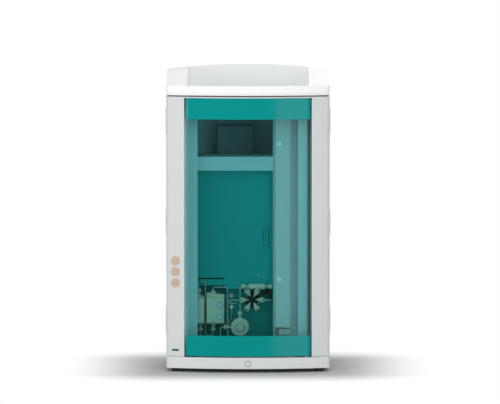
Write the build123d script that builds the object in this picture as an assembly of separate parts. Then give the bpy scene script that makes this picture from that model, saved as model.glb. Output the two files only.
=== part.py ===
from build123d import *
import math
import os

# A bench-top ion chromatograph: a white tower with a bowed tinted door, a tray for bottles on top,
# and a pump, pulsation damper, inline filter and six-port injection valve on a teal panel inside.
# Millimetres. +X is the viewer's right, the bowed front faces -Y, +Z is up.
# The origin is on the table, under the centre of the bounding box.

# Overall size
overall_width = 365.0
overall_depth = 380.0
overall_height = 664.0
side_cover_stand = 3.0
rear_fitting_reach = 8.0
front_bulge = 38.0
front_corner_radius = 12.0
rear_corner_radius = 6.0

# Levels, from the table up
feet_height = 8.5
base_height = 25.0
base_gap = 2.0
roof_thickness = 2.5
tray_gap = 3.0
tray_height = 55.0

# Base moulding
base_wall = 6.0
base_floor = 5.0
base_edge_radius = 2.0
lip_inset = 1.5
sill_thickness = 8.0
foot_radius = 13.0
foot_taper = 2.0
foot_side_inset = 22.5
foot_front_inset = 72.0
foot_back_inset = 34.0
plug_radius = 6.5
plug_rim = 1.6
plug_clearance = 0.1
plug_recess = 1.0
plug_height = 11.5
nozzle_radius = 4.0
nozzle_bore = 2.5
nozzle_flange_radius = 7.0
nozzle_flange_thickness = 2.0

# Bottle tray
lip_height = 7.0
lip_draw = 2.5
neck_inset = 5.0
rim_level = 21.0
rim_thickness = 9.0
tray_floor_level = 3.5
tray_rear_wall = 4.0
shoulder_width = 45.5
tray_arch_drop = 11.7
tray_slope_start = 40.0
recess_corner_radius = 10.0

# Front columns and side panels
column_width = 39.7
column_wall = 3.0
column_depth = 72.0
column_edge_radius = 1.0
side_thickness = 3.0
side_edge_radius = 2.5
cover_height = 52.7
cover_length = 96.0
cover_setback = 112.0
cover_floor_inset = 71.0
cover_roof_inset = 58.0
cover_middle_drop = 2.0
cover_window_inset = 4.0
cover_edge = 1.0
cover_clearance = 0.2
cover_spigot_wall = 2.0
port_plug_radius = 9.8
port_plug_clearance = 0.2
port_plug_stand = 0.8
port_plug_x_inset = 19.9
port_plug_levels = (196.5, 221.0, 245.0)
status_width = 15.0
status_height = 4.5
status_level = 48.8
status_x_inset = 20.1
status_clearance = 0.1

# Door
door_side_gap = 3.2
door_floor_gap = 3.0
door_roof_gap = 0.6
pane_thickness = 4.0
pane_edge_radius = 1.0
rail_thickness = 9.0
rail_margin = 2.0
top_band_height = 46.0
bottom_band_height = 45.0
hinge_inset = 9.0
hinge_setback = 7.5
hinge_pin_radius = 2.0
hinge_clearance = 0.05
hinge_pin_reach = 9.0
hinge_socket_depth = 2.0
striker_width = 14.0
striker_height = 12.0
striker_thickness = 2.5
striker_pocket = 7.0
striker_margin = 2.0
catch_gap = 0.5
catch_edge = 0.6

# Inner frame behind the door
frame_setback = 72.0
frame_thickness = 3.0
pillar_width = 28.8
pillar_depth = 27.0
frame_wall = 3.0
opening_right_inset = 84.8
opening_floor = 40.0
bar_height = 30.5
bar_depth = 14.0
bay_height = 99.8
bay_roof_inset = 31.5
hinge_post_inset = 9.8
hinge_post_width = 20.0
hinge_post_depth = 22.0
pump_window_inset = 8.8
pump_window_floor = 60.0
pump_window_top = 200.0

# Detector bay
liner_wall = 3.0
bay_depth = 145.0
detector_width = 84.0
detector_depth = 44.0
detector_height = 62.0
detector_edge_radius = 6.0

# Teal panel with its stepped recesses
panel_wall = 3.0
recess_depth = 15.0
recess_top = 180.0
niche_inset = 9.8
niche_width = 80.0
niche_floor = 60.0
niche_top = 188.0
niche_depth = 25.0
slot_level = 203.0
slot_height = 3.0
slot_length = 58.0
pocket_inset = 15.0
pocket_drop = 147.2
pocket_width = 12.0
pocket_height = 42.0
pocket_depth = 1.5
panel_screw_inset = 31.0
panel_screw_level = 212.0
panel_screw_radius = 2.0
panel_screw_stand = 1.2

# Capillary duct on the right
duct_rail_width = 4.0
duct_width = 35.0
duct_depth = 24.0
duct_wall = 2.0
duct_floor = 100.5
duct_edge_radius = 5.0
duct_seal = 3.5
duct_rail_depth = 16.0
button_inset = 10.0
button_level = 202.5
button_roof_inset = 101.5
button_radius = 6.0
button_stand = 2.5
button_edge = 1.0
sensor_inset = 9.0
sensor_width = 24.0
sensor_depth = 17.0
sensor_floor = 80.0
sensor_height = 13.5
sensor_edge = 1.0
contact_radius = 1.0
contact_depth = 2.0
contact_spacing = 5.0

# Pump: depths from the frame, places across from the left edge of the opening
pump_plate_depth = 6.0
pump_front_depth = 20.0
pump_port_setback = 0.5
main_head_start = 19.6
main_head_width = 39.1
aux_head_start = -15.0
aux_head_width = 30.0
head_plate_floor = 106.0
head_plate_top = 161.0
head_floor = 103.5
head_top = 165.0
head_edge = 1.5
manifold_top = 172.0
manifold_step = 3.0
manifold_step_gap = 2.0
main_port_place = 34.3
aux_port_place = 2.5
aux_inlet_place = 5.8
holder_radius = 4.8
holder_height = 5.0
holder_edge = 1.0
thumb_screw_place = 49.5
thumb_screw_levels = (120.3, 146.3)
thumb_screw_radius = 5.3
thumb_screw_stand = 4.0
thumb_screw_flutes = 12
thumb_screw_flute_radius = 0.6

# Finger-tight nuts and capillaries
nut_radius = 4.9
nut_length = 11.0
nut_tip_radius = 1.6
nut_head_length = 6.5
nut_edge = 0.8
neck_wall = 1.0
capillary_radius = 0.8
link_arch_rise = 16.0
link_arch_radius = 7.2
link_sag = 10.5
link_sag_radius = 8.3
outlet_rise = 7.0
outlet_rise_radius = 5.5
outlet_drop_place = 66.0
outlet_sag_level = 70.0
outlet_sag_radius = 7.5
outlet_return = 7.0
damper_bend_radius = 3.0
valve_line_lead = 3.5
valve_line_radius = 2.5
valve_line_entry_radius = 5.0
valve_line_gap = 3.0
loop_turn_place = 69.5
loop_entry_place = 86.0
loop_drop = 7.0
loop_turn_radius = 3.4
inlet_drop = 14.0
inlet_bend_radius = 8.0
purge_line_drops = (12.0, 34.0, 70.0)
purge_line_shift = 5.5
purge_line_radius = 14.0
purge_line_entry_radius = 4.5

# Pulsation damper
damper_place = 93.4
damper_level = 96.3
damper_radius = 20.2
damper_thickness = 30.0
damper_edge = 2.0
damper_port_depth = 4.0
damper_neck_reach = 3.5
damper_cap_radius = 9.5
damper_cap_stand = 2.5
damper_cap_edge = 1.0
damper_cap_dish = 1.0
damper_groove = 1.5
damper_groove_depth = 2.0
damper_holes = 6
damper_hole_radius = 1.0
damper_hole_share = 0.7
damper_inlet_place = 57.0

# Injection valve
valve_place = 120.2
valve_level = 156.7
valve_flange_radius = 17.0
valve_flange_thickness = 12.6
valve_seat_radius = 8.5
valve_seat_half = 6.0
valve_nut_tilt = 40.0
valve_nut_length = 21.5
valve_nut_radius = 5.3
valve_nut_head = 8.0
valve_nut_hole = 1.5
valve_nut_hole_depth = 3.0
valve_port_count = 6
valve_line_angles = (0.0, 180.0)
valve_screw_radius = 2.0
valve_screw_stand = 2.5
valve_screw_pitch = 14.6
valve_screw_angles = (150.0, -30.0)

# Inline filter and its bracket
filter_level = 186.0
filter_place = 113.0
filter_length = 25.5
filter_radius = 6.2
filter_neck_gap = 1.5
filter_neck_step = 2.0
filter_collar_length = 8.0
filter_collar_radius = 6.5
filter_nut_left_gap = 16.0
filter_nut_right_gap = 16.0
bracket_fin_starts = (27.8, 43.5)
bracket_fin_widths = (3.7, 2.5)
bracket_fin_floors = (164.0, 157.0)
bracket_thickness = 2.5
bracket_height = 14.0

# Bulkhead port and purge valve
port_place = 74.2
port_level = 164.5
port_radius = 4.3
port_reach = 9.0
port_bore = 1.8
port_bore_depth = 6.0
purge_level = 140.4
purge_seat_radius = 4.4
purge_seat_reach = 10.0
purge_knob_radius = 4.2
purge_knob_length = 9.0
purge_knob_edge = 1.0
purge_knob_flutes = 8
purge_knob_flute_radius = 0.8
purge_knob_flute_offset = 0.2
purge_stem_radius = 1.6
purge_stem_reach = 7.0
purge_gap = 0.3
running_clearance = 0.05
purge_outlet_radius = 1.8
purge_outlet_reach = 8.5
purge_outlet_root = 0.8

# Drives and electronics in the closed rear compartment
drive_width = 74.0
drive_height = 98.0
drive_depth = 100.0
drive_edge = 4.0
motor_radius = 28.0
motor_length = 46.0
actuator_size = 44.0
actuator_depth = 60.0
actuator_edge = 3.0
actuator_motor_inset = 5.0
supply_side_inset = 23.5
supply_width = 96.0
supply_depth = 110.0
supply_height = 68.0
supply_back_inset = 50.0
supply_slots = 6
supply_slot_width = 4.0
supply_slot_depth = 2.0
supply_slot_margin = 12.0
board_thickness = 1.6
board_width = 190.0
board_height = 200.0
board_floor = 240.0
board_standoff = 6.0
board_standoff_radius = 3.0
board_standoff_inset = 10.0
board_rows = 3
board_row_start = 30.0
board_row_pitch = 55.0
chip_size = 30.0
chip_height = 4.0
chip_level = 60.0
terminal_width = 12.0
terminal_length = 40.0
terminal_level = 130.0

# Rear panel and its fittings
rear_thickness = 2.0
cut_clearance = 0.2
inlet_side_inset = 61.5
inlet_level = 78.0
inlet_half_width = 13.5
inlet_half_height = 10.0
inlet_flange_margin = 5.0
inlet_flange_rim = 2.5
inlet_depth = 20.0
inlet_cavity_depth = 16.0
inlet_side_wall = 1.8
inlet_corner = 3.5
inlet_blades = ((-7.0, -2.5), (0.0, 2.5), (7.0, -2.5))
inlet_blade_half_width = 1.0
inlet_blade_half_height = 2.0
inlet_blade_recess = 3.5
switch_pitch = 40.0
switch_half_width = 6.5
switch_half_height = 9.8
switch_wall = 1.0
switch_rim = 1.5
switch_flange = 2.0
switch_depth = 14.0
rocker_half_width = 5.2
rocker_half_height = 7.6
rocker_rise = 6.0
rocker_skirt = 0.5
rocker_root = 3.0
rocker_setback = 2.0
rocker_tilt = 10.0
rocker_pin_radius = 1.2
rocker_pin_gap = 0.1
fan_side_inset = 87.5
fan_roof_inset = 103.5
fan_size = 80.0
fan_depth = 25.0
fan_corner_radius = 4.0
fan_bore = 37.0
fan_hub = 15.0
fan_shaft = 1.5
fan_cup_wall = 1.0
fan_cup_depth = 4.0
fan_arm_width = 4.0
fan_arm_depth = 3.0
fan_blades = 7
fan_blade_pitch = 35.0
fan_blade_thickness = 1.6
fan_blade_chord = 22.0
fan_tip_gap = 1.5
fan_rear_gap = 3.0
fan_cup_gap = 0.5
guard_thickness = 2.0
guard_wire = 2.0
guard_rings = (12.0, 20.5, 29.0, 38.0)
guard_ear = 5.0
vent_roof_inset = 143.5
vent_slots = 12
vent_pitch = 8.0
vent_width = 90.0
vent_height = 3.0
socket_drops = (160.0, 130.0, 100.0)
socket_half_widths = (20.0, 15.5, 8.0)
socket_half_height = 6.0
socket_plate = 1.5
socket_corner = 2.0
socket_nose_inset = 6.0
socket_nose_half_height = 4.2
socket_nose_reach = 6.0
rear_screw_radius = 3.0
rear_screw_stand = 2.0
rear_screw_edge = 1.0
rear_screw_inset = 8.0
rear_screws_per_side = 5

# Worked out from the sizes above
body_half = overall_width / 2 - side_cover_stand
front_y = -overall_depth / 2
back_y = overall_depth / 2 - rear_fitting_reach
front_radius = (body_half**2 + front_bulge**2) / (2 * front_bulge)
front_centre_y = front_y + front_radius
base_top = feet_height + base_height
shell_floor = base_top + base_gap
tray_floor = overall_height - tray_height
roof_top = tray_floor - tray_gap
roof_floor = roof_top - roof_thickness
column_inner = body_half - column_width
column_back_y = front_y + column_depth
door_half = column_inner - door_side_gap
door_floor = base_top + door_floor_gap
door_top = roof_floor - door_roof_gap
hinge_x = door_half - hinge_inset
frame_y = front_y + frame_setback
panel_y = frame_y + frame_thickness
recess_y = panel_y + recess_depth
niche_y = panel_y + niche_depth
side_inner = body_half - side_thickness
rear_inner_y = back_y - rear_thickness

# Side covers, from the base and the roof
low_cover = shell_floor + cover_floor_inset
high_cover = roof_floor - cover_roof_inset
cover_levels = (low_cover, (low_cover + high_cover) / 2 - cover_middle_drop, high_cover)
cover_y = column_back_y + cover_setback

# Openings of the inner frame
opening_left = -column_inner + pillar_width
opening_right = column_inner - opening_right_inset
bay_top = roof_floor - bay_roof_inset
bay_floor = bay_top - bay_height
opening_top = bay_floor - bar_height
bay_back_y = panel_y + bay_depth
pillar_front_y = frame_y - pillar_depth
bar_front_y = frame_y - bar_depth
hinge_post_right = column_inner - hinge_post_inset
hinge_post_left = hinge_post_right - hinge_post_width
hinge_post_front_y = frame_y - hinge_post_depth
pump_window_left = -column_inner + pump_window_inset

# Teal panel and duct
niche_left = -column_inner + niche_inset
niche_right = niche_left + niche_width
slot_right = opening_left + slot_length
pocket_x = opening_right - pocket_inset
pocket_level = opening_top - pocket_drop
panel_screw_x = opening_right - panel_screw_inset
duct_left = opening_right + duct_rail_width
duct_right = duct_left + duct_width
duct_front_y = frame_y - duct_depth
duct_rail_front_y = frame_y - duct_rail_depth
button_x = duct_left + button_inset
button_levels = (button_level, roof_floor - button_roof_inset)
sensor_left = duct_left + sensor_inset
sensor_right = sensor_left + sensor_width
sensor_front_y = frame_y - sensor_depth

# Wet parts
pump_plate_y = frame_y - pump_plate_depth
pump_front_y = frame_y - pump_front_depth
pump_port_y = frame_y + pump_port_setback
main_head_left = opening_left + main_head_start
main_head_right = main_head_left + main_head_width
aux_head_left = opening_left + aux_head_start
aux_head_right = aux_head_left + aux_head_width
main_port_x = opening_left + main_port_place
aux_port_x = opening_left + aux_port_place
aux_inlet_x = opening_left + aux_inlet_place
thumb_screw_x = opening_left + thumb_screw_place
damper_x = opening_left + damper_place
damper_port_y = frame_y - damper_port_depth
damper_inlet_x = opening_left + damper_inlet_place
valve_x = opening_left + valve_place
valve_seat_y = frame_y
filter_y = damper_port_y
filter_left = opening_left + filter_place
filter_right = filter_left + filter_length
filter_collar_left = filter_right + filter_neck_gap
filter_collar_right = filter_collar_left + filter_collar_length
filter_nut_left = filter_left - filter_nut_left_gap
filter_nut_right = filter_collar_right + filter_nut_right_gap
port_x = opening_left + port_place

# Rear fittings
supply_left = -body_half + supply_side_inset
inlet_x = -body_half + inlet_side_inset
switch_x = inlet_x + switch_pitch
fan_x = -body_half + fan_side_inset
fan_level = roof_floor - fan_roof_inset
vent_x = body_half - fan_side_inset
vent_floor = roof_floor - vent_roof_inset
socket_x = vent_x
socket_levels = [vent_floor - drop for drop in socket_drops]


def span(x, y, z):
    """A block between two values on each axis."""
    size = [end - start for start, end in (x, y, z)]
    middle = [(start + end) / 2 for start, end in (x, y, z)]
    return Pos(*middle) * Box(*size)


def rod(point, direction, radius, length):
    """A cylinder that starts at a point and runs along a direction."""
    plane = Plane(origin=point, z_dir=direction)
    return plane * Cylinder(radius, length, align=(Align.CENTER, Align.CENTER, Align.MIN))


def turned(outline, point, direction):
    """A turned piece: pairs of radius and height, set on a point and facing a direction."""
    face = make_face(Polyline(*[(radius, 0, height) for radius, height in outline], close=True))
    return Plane(origin=point, z_dir=direction) * revolve(face, Axis.Z)


def joined(solids):
    """One shape out of several."""
    whole = solids[0]
    for solid in solids[1:]:
        whole = whole + solid
    return whole


def mirrored(shape):
    """The same piece on the other side of the symmetry plane."""
    return mirror(shape, about=Plane.YZ)


def upright_edges(shape):
    """The edges that run up and down."""
    return shape.edges().filter_by(Axis.Z)


def front_at(x, inset=0.0):
    """Where the bowed front, moved inwards by an inset, lies in depth."""
    return front_centre_y - math.sqrt((front_radius - inset) ** 2 - x**2)


def plan_outline(inset, level):
    """The plan of the whole body: a bowed front and rounded corners."""
    half = body_half - inset
    side_y = front_at(half, inset)
    rear_y = back_y - inset
    bow = ThreePointArc((-half, side_y), (0, front_y + inset), (half, side_y))
    sides = Polyline((half, side_y), (half, rear_y), (-half, rear_y), (-half, side_y))
    face = Sketch() + make_face([*bow.edges(), *sides.edges()])
    by_depth = face.vertices().sort_by(Axis.Y)
    face = fillet(by_depth[:2], front_corner_radius - inset)
    by_depth = face.vertices().sort_by(Axis.Y)
    face = fillet(by_depth[-2:], rear_corner_radius - min(inset, rear_corner_radius / 2))
    return Pos(0, 0, level) * face


def plan_block(inset, floor, top):
    """The body's plan as a solid between two levels."""
    return extrude(plan_outline(inset, floor), top - floor)


def bowed_bar(x, insets, z):
    """A bar that follows the bowed front between two insets."""
    left, right = x
    outer, inner = insets
    middle = (left + right) / 2
    edges = []
    for inset in (outer, inner):
        points = [(place, front_at(place, inset)) for place in (left, middle, right)]
        edges += ThreePointArc(*points).edges()
    for place in (left, right):
        edges += Line((place, front_at(place, outer)), (place, front_at(place, inner))).edges()
    return Pos(0, 0, z[0]) * extrude(make_face(edges), z[1] - z[0])


def drilled(x, z, radius, y):
    """A cylinder through the front or the back, between two depths."""
    return rod((x, y[0], z), (0, 1, 0), radius, y[1] - y[0])


def base_tray():
    """The base moulding: a tray with a raised lip that carries the side panels and the columns."""
    body = plan_block(0, feet_height, base_top)
    rims = body.edges().filter_by(Axis.Z, reverse=True)
    body = fillet(rims, base_edge_radius)
    lip = plan_block(lip_inset, base_top - base_edge_radius, shell_floor)
    door_zone = (-column_inner, column_inner)
    lip -= span(door_zone, (front_y - 1, frame_y), (base_top, shell_floor + 1))
    pocket = plan_block(base_wall, feet_height + base_floor, shell_floor + 1)
    sill = span(
        (-body_half + base_wall, body_half - base_wall),
        (frame_y - sill_thickness / 2, frame_y + sill_thickness / 2),
        (feet_height + base_floor, shell_floor),
    )
    level = feet_height + plug_height
    plug_hole = drilled(0, level, plug_radius + plug_clearance, (front_y - 1, front_y + 2 * base_wall))
    nozzle_hole = drilled(0, level, nozzle_radius, (back_y - 2 * base_wall, back_y + 1))
    return body + lip - pocket + sill - plug_hole - nozzle_hole


def drain_plug():
    """A round plug with a raised ring in the front of the base."""
    length = base_wall
    outline = (
        (0, 0),
        (plug_radius, 0),
        (plug_radius, length),
        (plug_radius - plug_rim, length),
        (plug_radius - plug_rim, length - plug_recess),
        (0, length - plug_recess),
    )
    return turned(outline, (0, front_y + length, feet_height + plug_height), (0, -1, 0))


def rubber_feet():
    """Four tapered rubber feet under the base."""
    outline = ((0, 0), (foot_radius - foot_taper, 0), (foot_radius, feet_height), (0, feet_height))
    places = [
        (side * (body_half - foot_side_inset), y, 0)
        for side in (-1, 1)
        for y in (front_y + foot_front_inset, back_y - foot_back_inset)
    ]
    return Compound(children=[turned(outline, place, (0, 0, 1)) for place in places])


def drain_nozzle():
    """A flanged hose nozzle in the back of the base."""
    outline = (
        (nozzle_bore, 0),
        (nozzle_radius, 0),
        (nozzle_radius, base_wall),
        (nozzle_flange_radius, base_wall),
        (nozzle_flange_radius, base_wall + nozzle_flange_thickness),
        (nozzle_radius, base_wall + nozzle_flange_thickness),
        (nozzle_radius, base_wall + rear_fitting_reach),
        (nozzle_bore, base_wall + rear_fitting_reach),
    )
    return turned(outline, (0, back_y - base_wall, feet_height + plug_height), (0, 1, 0))


def roof_plate():
    """The flat roof over the columns and the door, with the socket of the upper hinge pin."""
    roof = plan_block(0, roof_floor, roof_top)
    return roof - rod((hinge_x, hinge_y(), roof_floor), (0, 0, 1), hinge_pin_radius, hinge_socket_depth)


def hinge_y():
    """The depth of the door's hinge axis."""
    return front_at(hinge_x) + hinge_setback


def bottle_tray():
    """The tray for bottles: a low front rim between wide shoulders, and an arched rear wall."""
    lip_top = tray_floor + lip_height
    lip = loft([plan_outline(lip_draw, tray_floor).face(), plan_outline(0, lip_top).face()])
    body = lip + plan_block(0, lip_top, overall_height)
    arch_radius = (body_half**2 + tray_arch_drop**2) / (2 * tray_arch_drop)
    below_arch = rod(
        (0, front_y - 1, overall_height - arch_radius), (0, 1, 0), arch_radius, overall_depth + 2
    )
    body &= below_arch
    rim_top = tray_floor + rim_level
    side_view = make_face(
        Polyline(
            (0, front_y - 1, tray_floor - 1),
            (0, front_y - 1, rim_top),
            (0, front_y + tray_slope_start, rim_top),
            (0, back_y, overall_height),
            (0, back_y + 1, overall_height + 1),
            (0, back_y + 1, tray_floor - 1),
            close=True,
        )
    )
    body &= extrude(side_view, body_half + 1, both=True, dir=(1, 0, 0))
    recess_half = body_half - shoulder_width
    recess = plan_block(rim_thickness, tray_floor + tray_floor_level, overall_height + 1)
    recess &= span(
        (-recess_half, recess_half),
        (front_y, back_y - tray_rear_wall),
        (tray_floor, overall_height + 1),
    )
    recess = fillet(upright_edges(recess), recess_corner_radius)
    neck = plan_block(neck_inset, roof_top, tray_floor)
    return body - recess + neck


def front_column():
    """The right-hand column: a moulded channel that carries the bowed front round the corner."""
    zone = span((column_inner, body_half), (front_y, column_back_y), (shell_floor, roof_floor))
    body = plan_block(0, shell_floor, roof_floor) & zone
    hollow = plan_block(column_wall, shell_floor, roof_floor)
    hollow &= span(
        (column_inner + column_wall, body_half), (front_y, column_back_y + 1), (shell_floor, roof_floor)
    )
    inner_edge = upright_edges(body).sort_by(Axis.X)[:2].sort_by(Axis.Y)[0]
    return fillet(inner_edge, column_edge_radius) - hollow


def port_plug(level, radius, stand):
    """A round plug whose face follows the bowed front of the left column."""
    x = -body_half + port_plug_x_inset
    around = 2 * radius
    disc = drilled(x, level, radius, (front_y, front_at(x) + 3 * column_wall))
    zone = bowed_bar((x - around, x + around), (-stand, column_wall), (level - around, level + around))
    return disc & zone


def status_window(clearance=0.0):
    """The small lens of the status light in the left column."""
    x = -body_half + status_x_inset
    half = status_width / 2 + clearance
    return bowed_bar(
        (x - half, x + half),
        (-clearance, column_wall),
        (status_level - status_height / 2 - clearance, status_level + status_height / 2 + clearance),
    )


def left_front_column():
    """The left column, with the holes for three port plugs and the status light."""
    column = mirrored(front_column())
    for level in port_plug_levels:
        column -= port_plug(level, port_plug_radius + port_plug_clearance / 2, 2 * port_plug_stand)
    return column - status_window(status_clearance)


def column_plugs():
    """The three port plugs in the left column."""
    plugs = [port_plug(level, port_plug_radius, port_plug_stand) for level in port_plug_levels]
    return Compound(children=plugs)


def cover_block(level, inset, x):
    """A block on the right side at one cover's level, inset all round."""
    half_length = cover_length / 2 - inset
    half_height = cover_height / 2 - inset
    y = (cover_y - half_length, cover_y + half_length)
    return span(x, y, (level - half_height, level + half_height))


def side_panel():
    """The right side panel with three windows."""
    panel = span((side_inner, body_half), (column_back_y, back_y), (shell_floor, roof_floor))
    for level in cover_levels:
        panel -= cover_block(level, cover_window_inset, (side_inner - 1, body_half + 1))
    rear_edge = upright_edges(panel).sort_by(Axis.Y)[-2:].sort_by(Axis.X)[-1]
    return fillet(rear_edge, side_edge_radius)


def side_covers():
    """Three covers that snap into the windows of the right side panel."""
    covers = []
    for level in cover_levels:
        plate = cover_block(level, 0, (body_half, body_half + side_cover_stand))
        plate = chamfer(plate.faces().sort_by(Axis.X)[-1].edges(), cover_edge)
        spigot_inset = cover_window_inset + cover_clearance
        spigot = cover_block(level, spigot_inset, (side_inner, body_half))
        spigot -= cover_block(level, spigot_inset + cover_spigot_wall, (side_inner - 1, body_half))
        covers.append(plate + spigot)
    return Compound(children=covers)


def door_pane():
    """The bowed tinted pane of the door."""
    pane = bowed_bar((-door_half, door_half), (0, pane_thickness), (door_floor, door_top))
    return fillet(upright_edges(pane), pane_edge_radius)


def striker_places():
    """The middle of each magnet striker: its place across and its level."""
    x = -door_half + rail_margin + striker_margin + striker_width / 2
    return ((x, door_floor + bottom_band_height / 2), (x, door_top - top_band_height / 2))


def striker_face_y():
    """The flat at the bottom of the strikers' pockets."""
    return front_at(-door_half, pane_thickness) + striker_pocket - striker_thickness


def door_rails():
    """The rails behind the pane's two opaque bands, with hinge bores and striker pockets."""
    bands = (
        (door_floor + rail_margin, door_floor + bottom_band_height - rail_margin),
        (door_top - top_band_height + rail_margin, door_top - rail_margin),
    )
    insets = (pane_thickness, pane_thickness + rail_thickness)
    bore_radius = hinge_pin_radius + hinge_clearance
    bore = rod((hinge_x, hinge_y(), door_floor), (0, 0, 1), bore_radius, door_top - door_floor)
    rails = []
    for (floor, top), (x, level) in zip(bands, striker_places()):
        rail = bowed_bar((-door_half + rail_margin, door_half), insets, (floor, top)) - bore
        half = striker_width / 2
        pocket = span(
            (x - half, x + half),
            (striker_face_y(), frame_y),
            (level - striker_height / 2, level + striker_height / 2),
        )
        rails.append(rail - pocket)
    return Compound(children=rails)


def magnet_strikers():
    """Two steel plates in the rails, at the door's free edge."""
    plates = []
    for x, level in striker_places():
        plates.append(
            span(
                (x - striker_width / 2, x + striker_width / 2),
                (striker_face_y(), striker_face_y() + striker_thickness),
                (level - striker_height / 2, level + striker_height / 2),
            )
        )
    return Compound(children=plates)


def magnet_catches():
    """Two magnets in housings on the left pillar."""
    catches = []
    for x, level in striker_places():
        front = striker_face_y() + striker_thickness + catch_gap
        body = span(
            (x - striker_width / 2, x + striker_width / 2),
            (front, pillar_front_y),
            (level - striker_height / 2, level + striker_height / 2),
        )
        catches.append(chamfer(body.faces().sort_by(Axis.Y)[0].edges(), catch_edge))
    return Compound(children=catches)


def hinge_pins():
    """Two pins on one upright axis, one in the roof and one in the base."""
    y = hinge_y()
    top_length = hinge_pin_reach + door_roof_gap + hinge_socket_depth
    top = rod((hinge_x, y, door_top - hinge_pin_reach), (0, 0, 1), hinge_pin_radius, top_length)
    low = rod((hinge_x, y, base_top), (0, 0, 1), hinge_pin_radius, door_floor_gap + hinge_pin_reach)
    return Compound(children=[top, low])


def inner_frame():
    """The white frame behind the door: a pillar on the left, a cross bar, and a post by the hinge."""
    levels = (shell_floor, roof_floor)
    plate = span((-column_inner, column_inner), (frame_y, panel_y), levels)
    plate -= span((opening_left, opening_right), (frame_y - 1, panel_y + 1), (opening_floor, opening_top))
    plate -= span((opening_left, opening_right), (frame_y - 1, panel_y + 1), (bay_floor, bay_top))
    pillar = span((-column_inner, -column_inner + pillar_width), (pillar_front_y, panel_y), levels)
    pillar -= span(
        (-column_inner + frame_wall, -column_inner + pillar_width - frame_wall),
        (pillar_front_y + frame_wall, panel_y + 1),
        levels,
    )
    bar = span((opening_left, opening_right), (bar_front_y, panel_y), (opening_top, bay_floor))
    bar -= span(
        (opening_left, opening_right),
        (bar_front_y + frame_wall, panel_y + 1),
        (opening_top + frame_wall, bay_floor - frame_wall),
    )
    post = span((hinge_post_left, hinge_post_right), (hinge_post_front_y, panel_y), levels)
    post -= span(
        (hinge_post_left + frame_wall, hinge_post_right - frame_wall),
        (hinge_post_front_y + frame_wall, panel_y + 1),
        levels,
    )
    window = span(
        (pump_window_left, opening_left + 1),
        (pillar_front_y + frame_wall, panel_y + 1),
        (pump_window_floor, pump_window_top),
    )
    return plate + pillar + bar + post - window


def detector_bay():
    """The dark liner of the bay above the bar, open to the front."""
    outer = span(
        (opening_left - liner_wall, opening_right + liner_wall),
        (panel_y, bay_back_y),
        (bay_floor - liner_wall, bay_top + liner_wall),
    )
    hollow = span(
        (opening_left, opening_right), (panel_y - 1, bay_back_y - liner_wall), (bay_floor, bay_top)
    )
    return outer - hollow


def detector_block():
    """The detector at the back of the bay, in the middle of its floor."""
    back = bay_back_y - liner_wall
    middle = (opening_left + opening_right) / 2
    half = detector_width / 2
    body = span(
        (middle - half, middle + half),
        (back - detector_depth, back),
        (bay_floor, bay_floor + detector_height),
    )
    return fillet(upright_edges(body).sort_by(Axis.Y)[:2], detector_edge_radius)


def wet_panel():
    """The teal panel: a flat sheet above, a shallow recess below and a deeper niche for the pump."""
    sheet = span(
        (niche_left - panel_wall, opening_right + panel_wall),
        (panel_y, panel_y + panel_wall),
        (opening_floor - panel_wall, opening_top + panel_wall),
    )
    recess_shell = span(
        (opening_left - panel_wall, opening_right + panel_wall),
        (panel_y, recess_y + panel_wall),
        (opening_floor - panel_wall, recess_top + panel_wall),
    )
    niche_shell = span(
        (niche_left - panel_wall, niche_right + panel_wall),
        (panel_y, niche_y + panel_wall),
        (niche_floor - panel_wall, niche_top + panel_wall),
    )
    recess = span((opening_left, opening_right), (panel_y - 1, recess_y), (opening_floor, recess_top))
    niche = span((niche_left, niche_right), (panel_y - 1, niche_y), (niche_floor, niche_top))
    slot = span(
        (opening_left, slot_right),
        (panel_y - 1, panel_y + panel_wall + 1),
        (slot_level - slot_height / 2, slot_level + slot_height / 2),
    )
    pocket = Plane((pocket_x, panel_y - 1, pocket_level), x_dir=(0, 0, 1), z_dir=(0, 1, 0)) * extrude(
        SlotOverall(pocket_height, pocket_width), 1 + pocket_depth
    )
    return sheet + recess_shell + niche_shell - recess - niche - slot - pocket


def panel_screw():
    """The screw that holds the panel above the valve."""
    place = (panel_screw_x, panel_y, panel_screw_level)
    return rod(place, (0, -1, 0), panel_screw_radius, panel_screw_stand)


def capillary_duct():
    """The upright duct for capillaries: a channel with rounded front edges."""
    body = span((duct_left, duct_right), (duct_front_y, frame_y), (duct_floor, roof_floor))
    body = fillet(upright_edges(body).sort_by(Axis.Y)[:2], duct_edge_radius)
    hollow = span(
        (duct_left + duct_wall, duct_right - duct_wall),
        (duct_front_y + duct_wall, frame_y + 1),
        (duct_floor, roof_floor),
    )
    hollow = fillet(upright_edges(hollow).sort_by(Axis.Y)[:2], duct_edge_radius - duct_wall)
    return body - hollow


def duct_buttons():
    """Two round buttons that hold the duct."""
    outline = (
        (0, 0),
        (button_radius, 0),
        (button_radius, button_stand - button_edge),
        (button_radius - button_edge, button_stand),
        (0, button_stand),
    )
    places = [(button_x, duct_front_y, level) for level in button_levels]
    return Compound(children=[turned(outline, place, (0, -1, 0)) for place in places])


def duct_rail():
    """The rail beside the duct, with the foot that closes its lower end."""
    rail = span((opening_right, duct_left), (duct_rail_front_y, frame_y), (opening_floor, roof_floor))
    foot = span((duct_left, duct_right), (duct_front_y, frame_y), (duct_floor - duct_seal, duct_floor))
    return rail + foot


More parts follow.
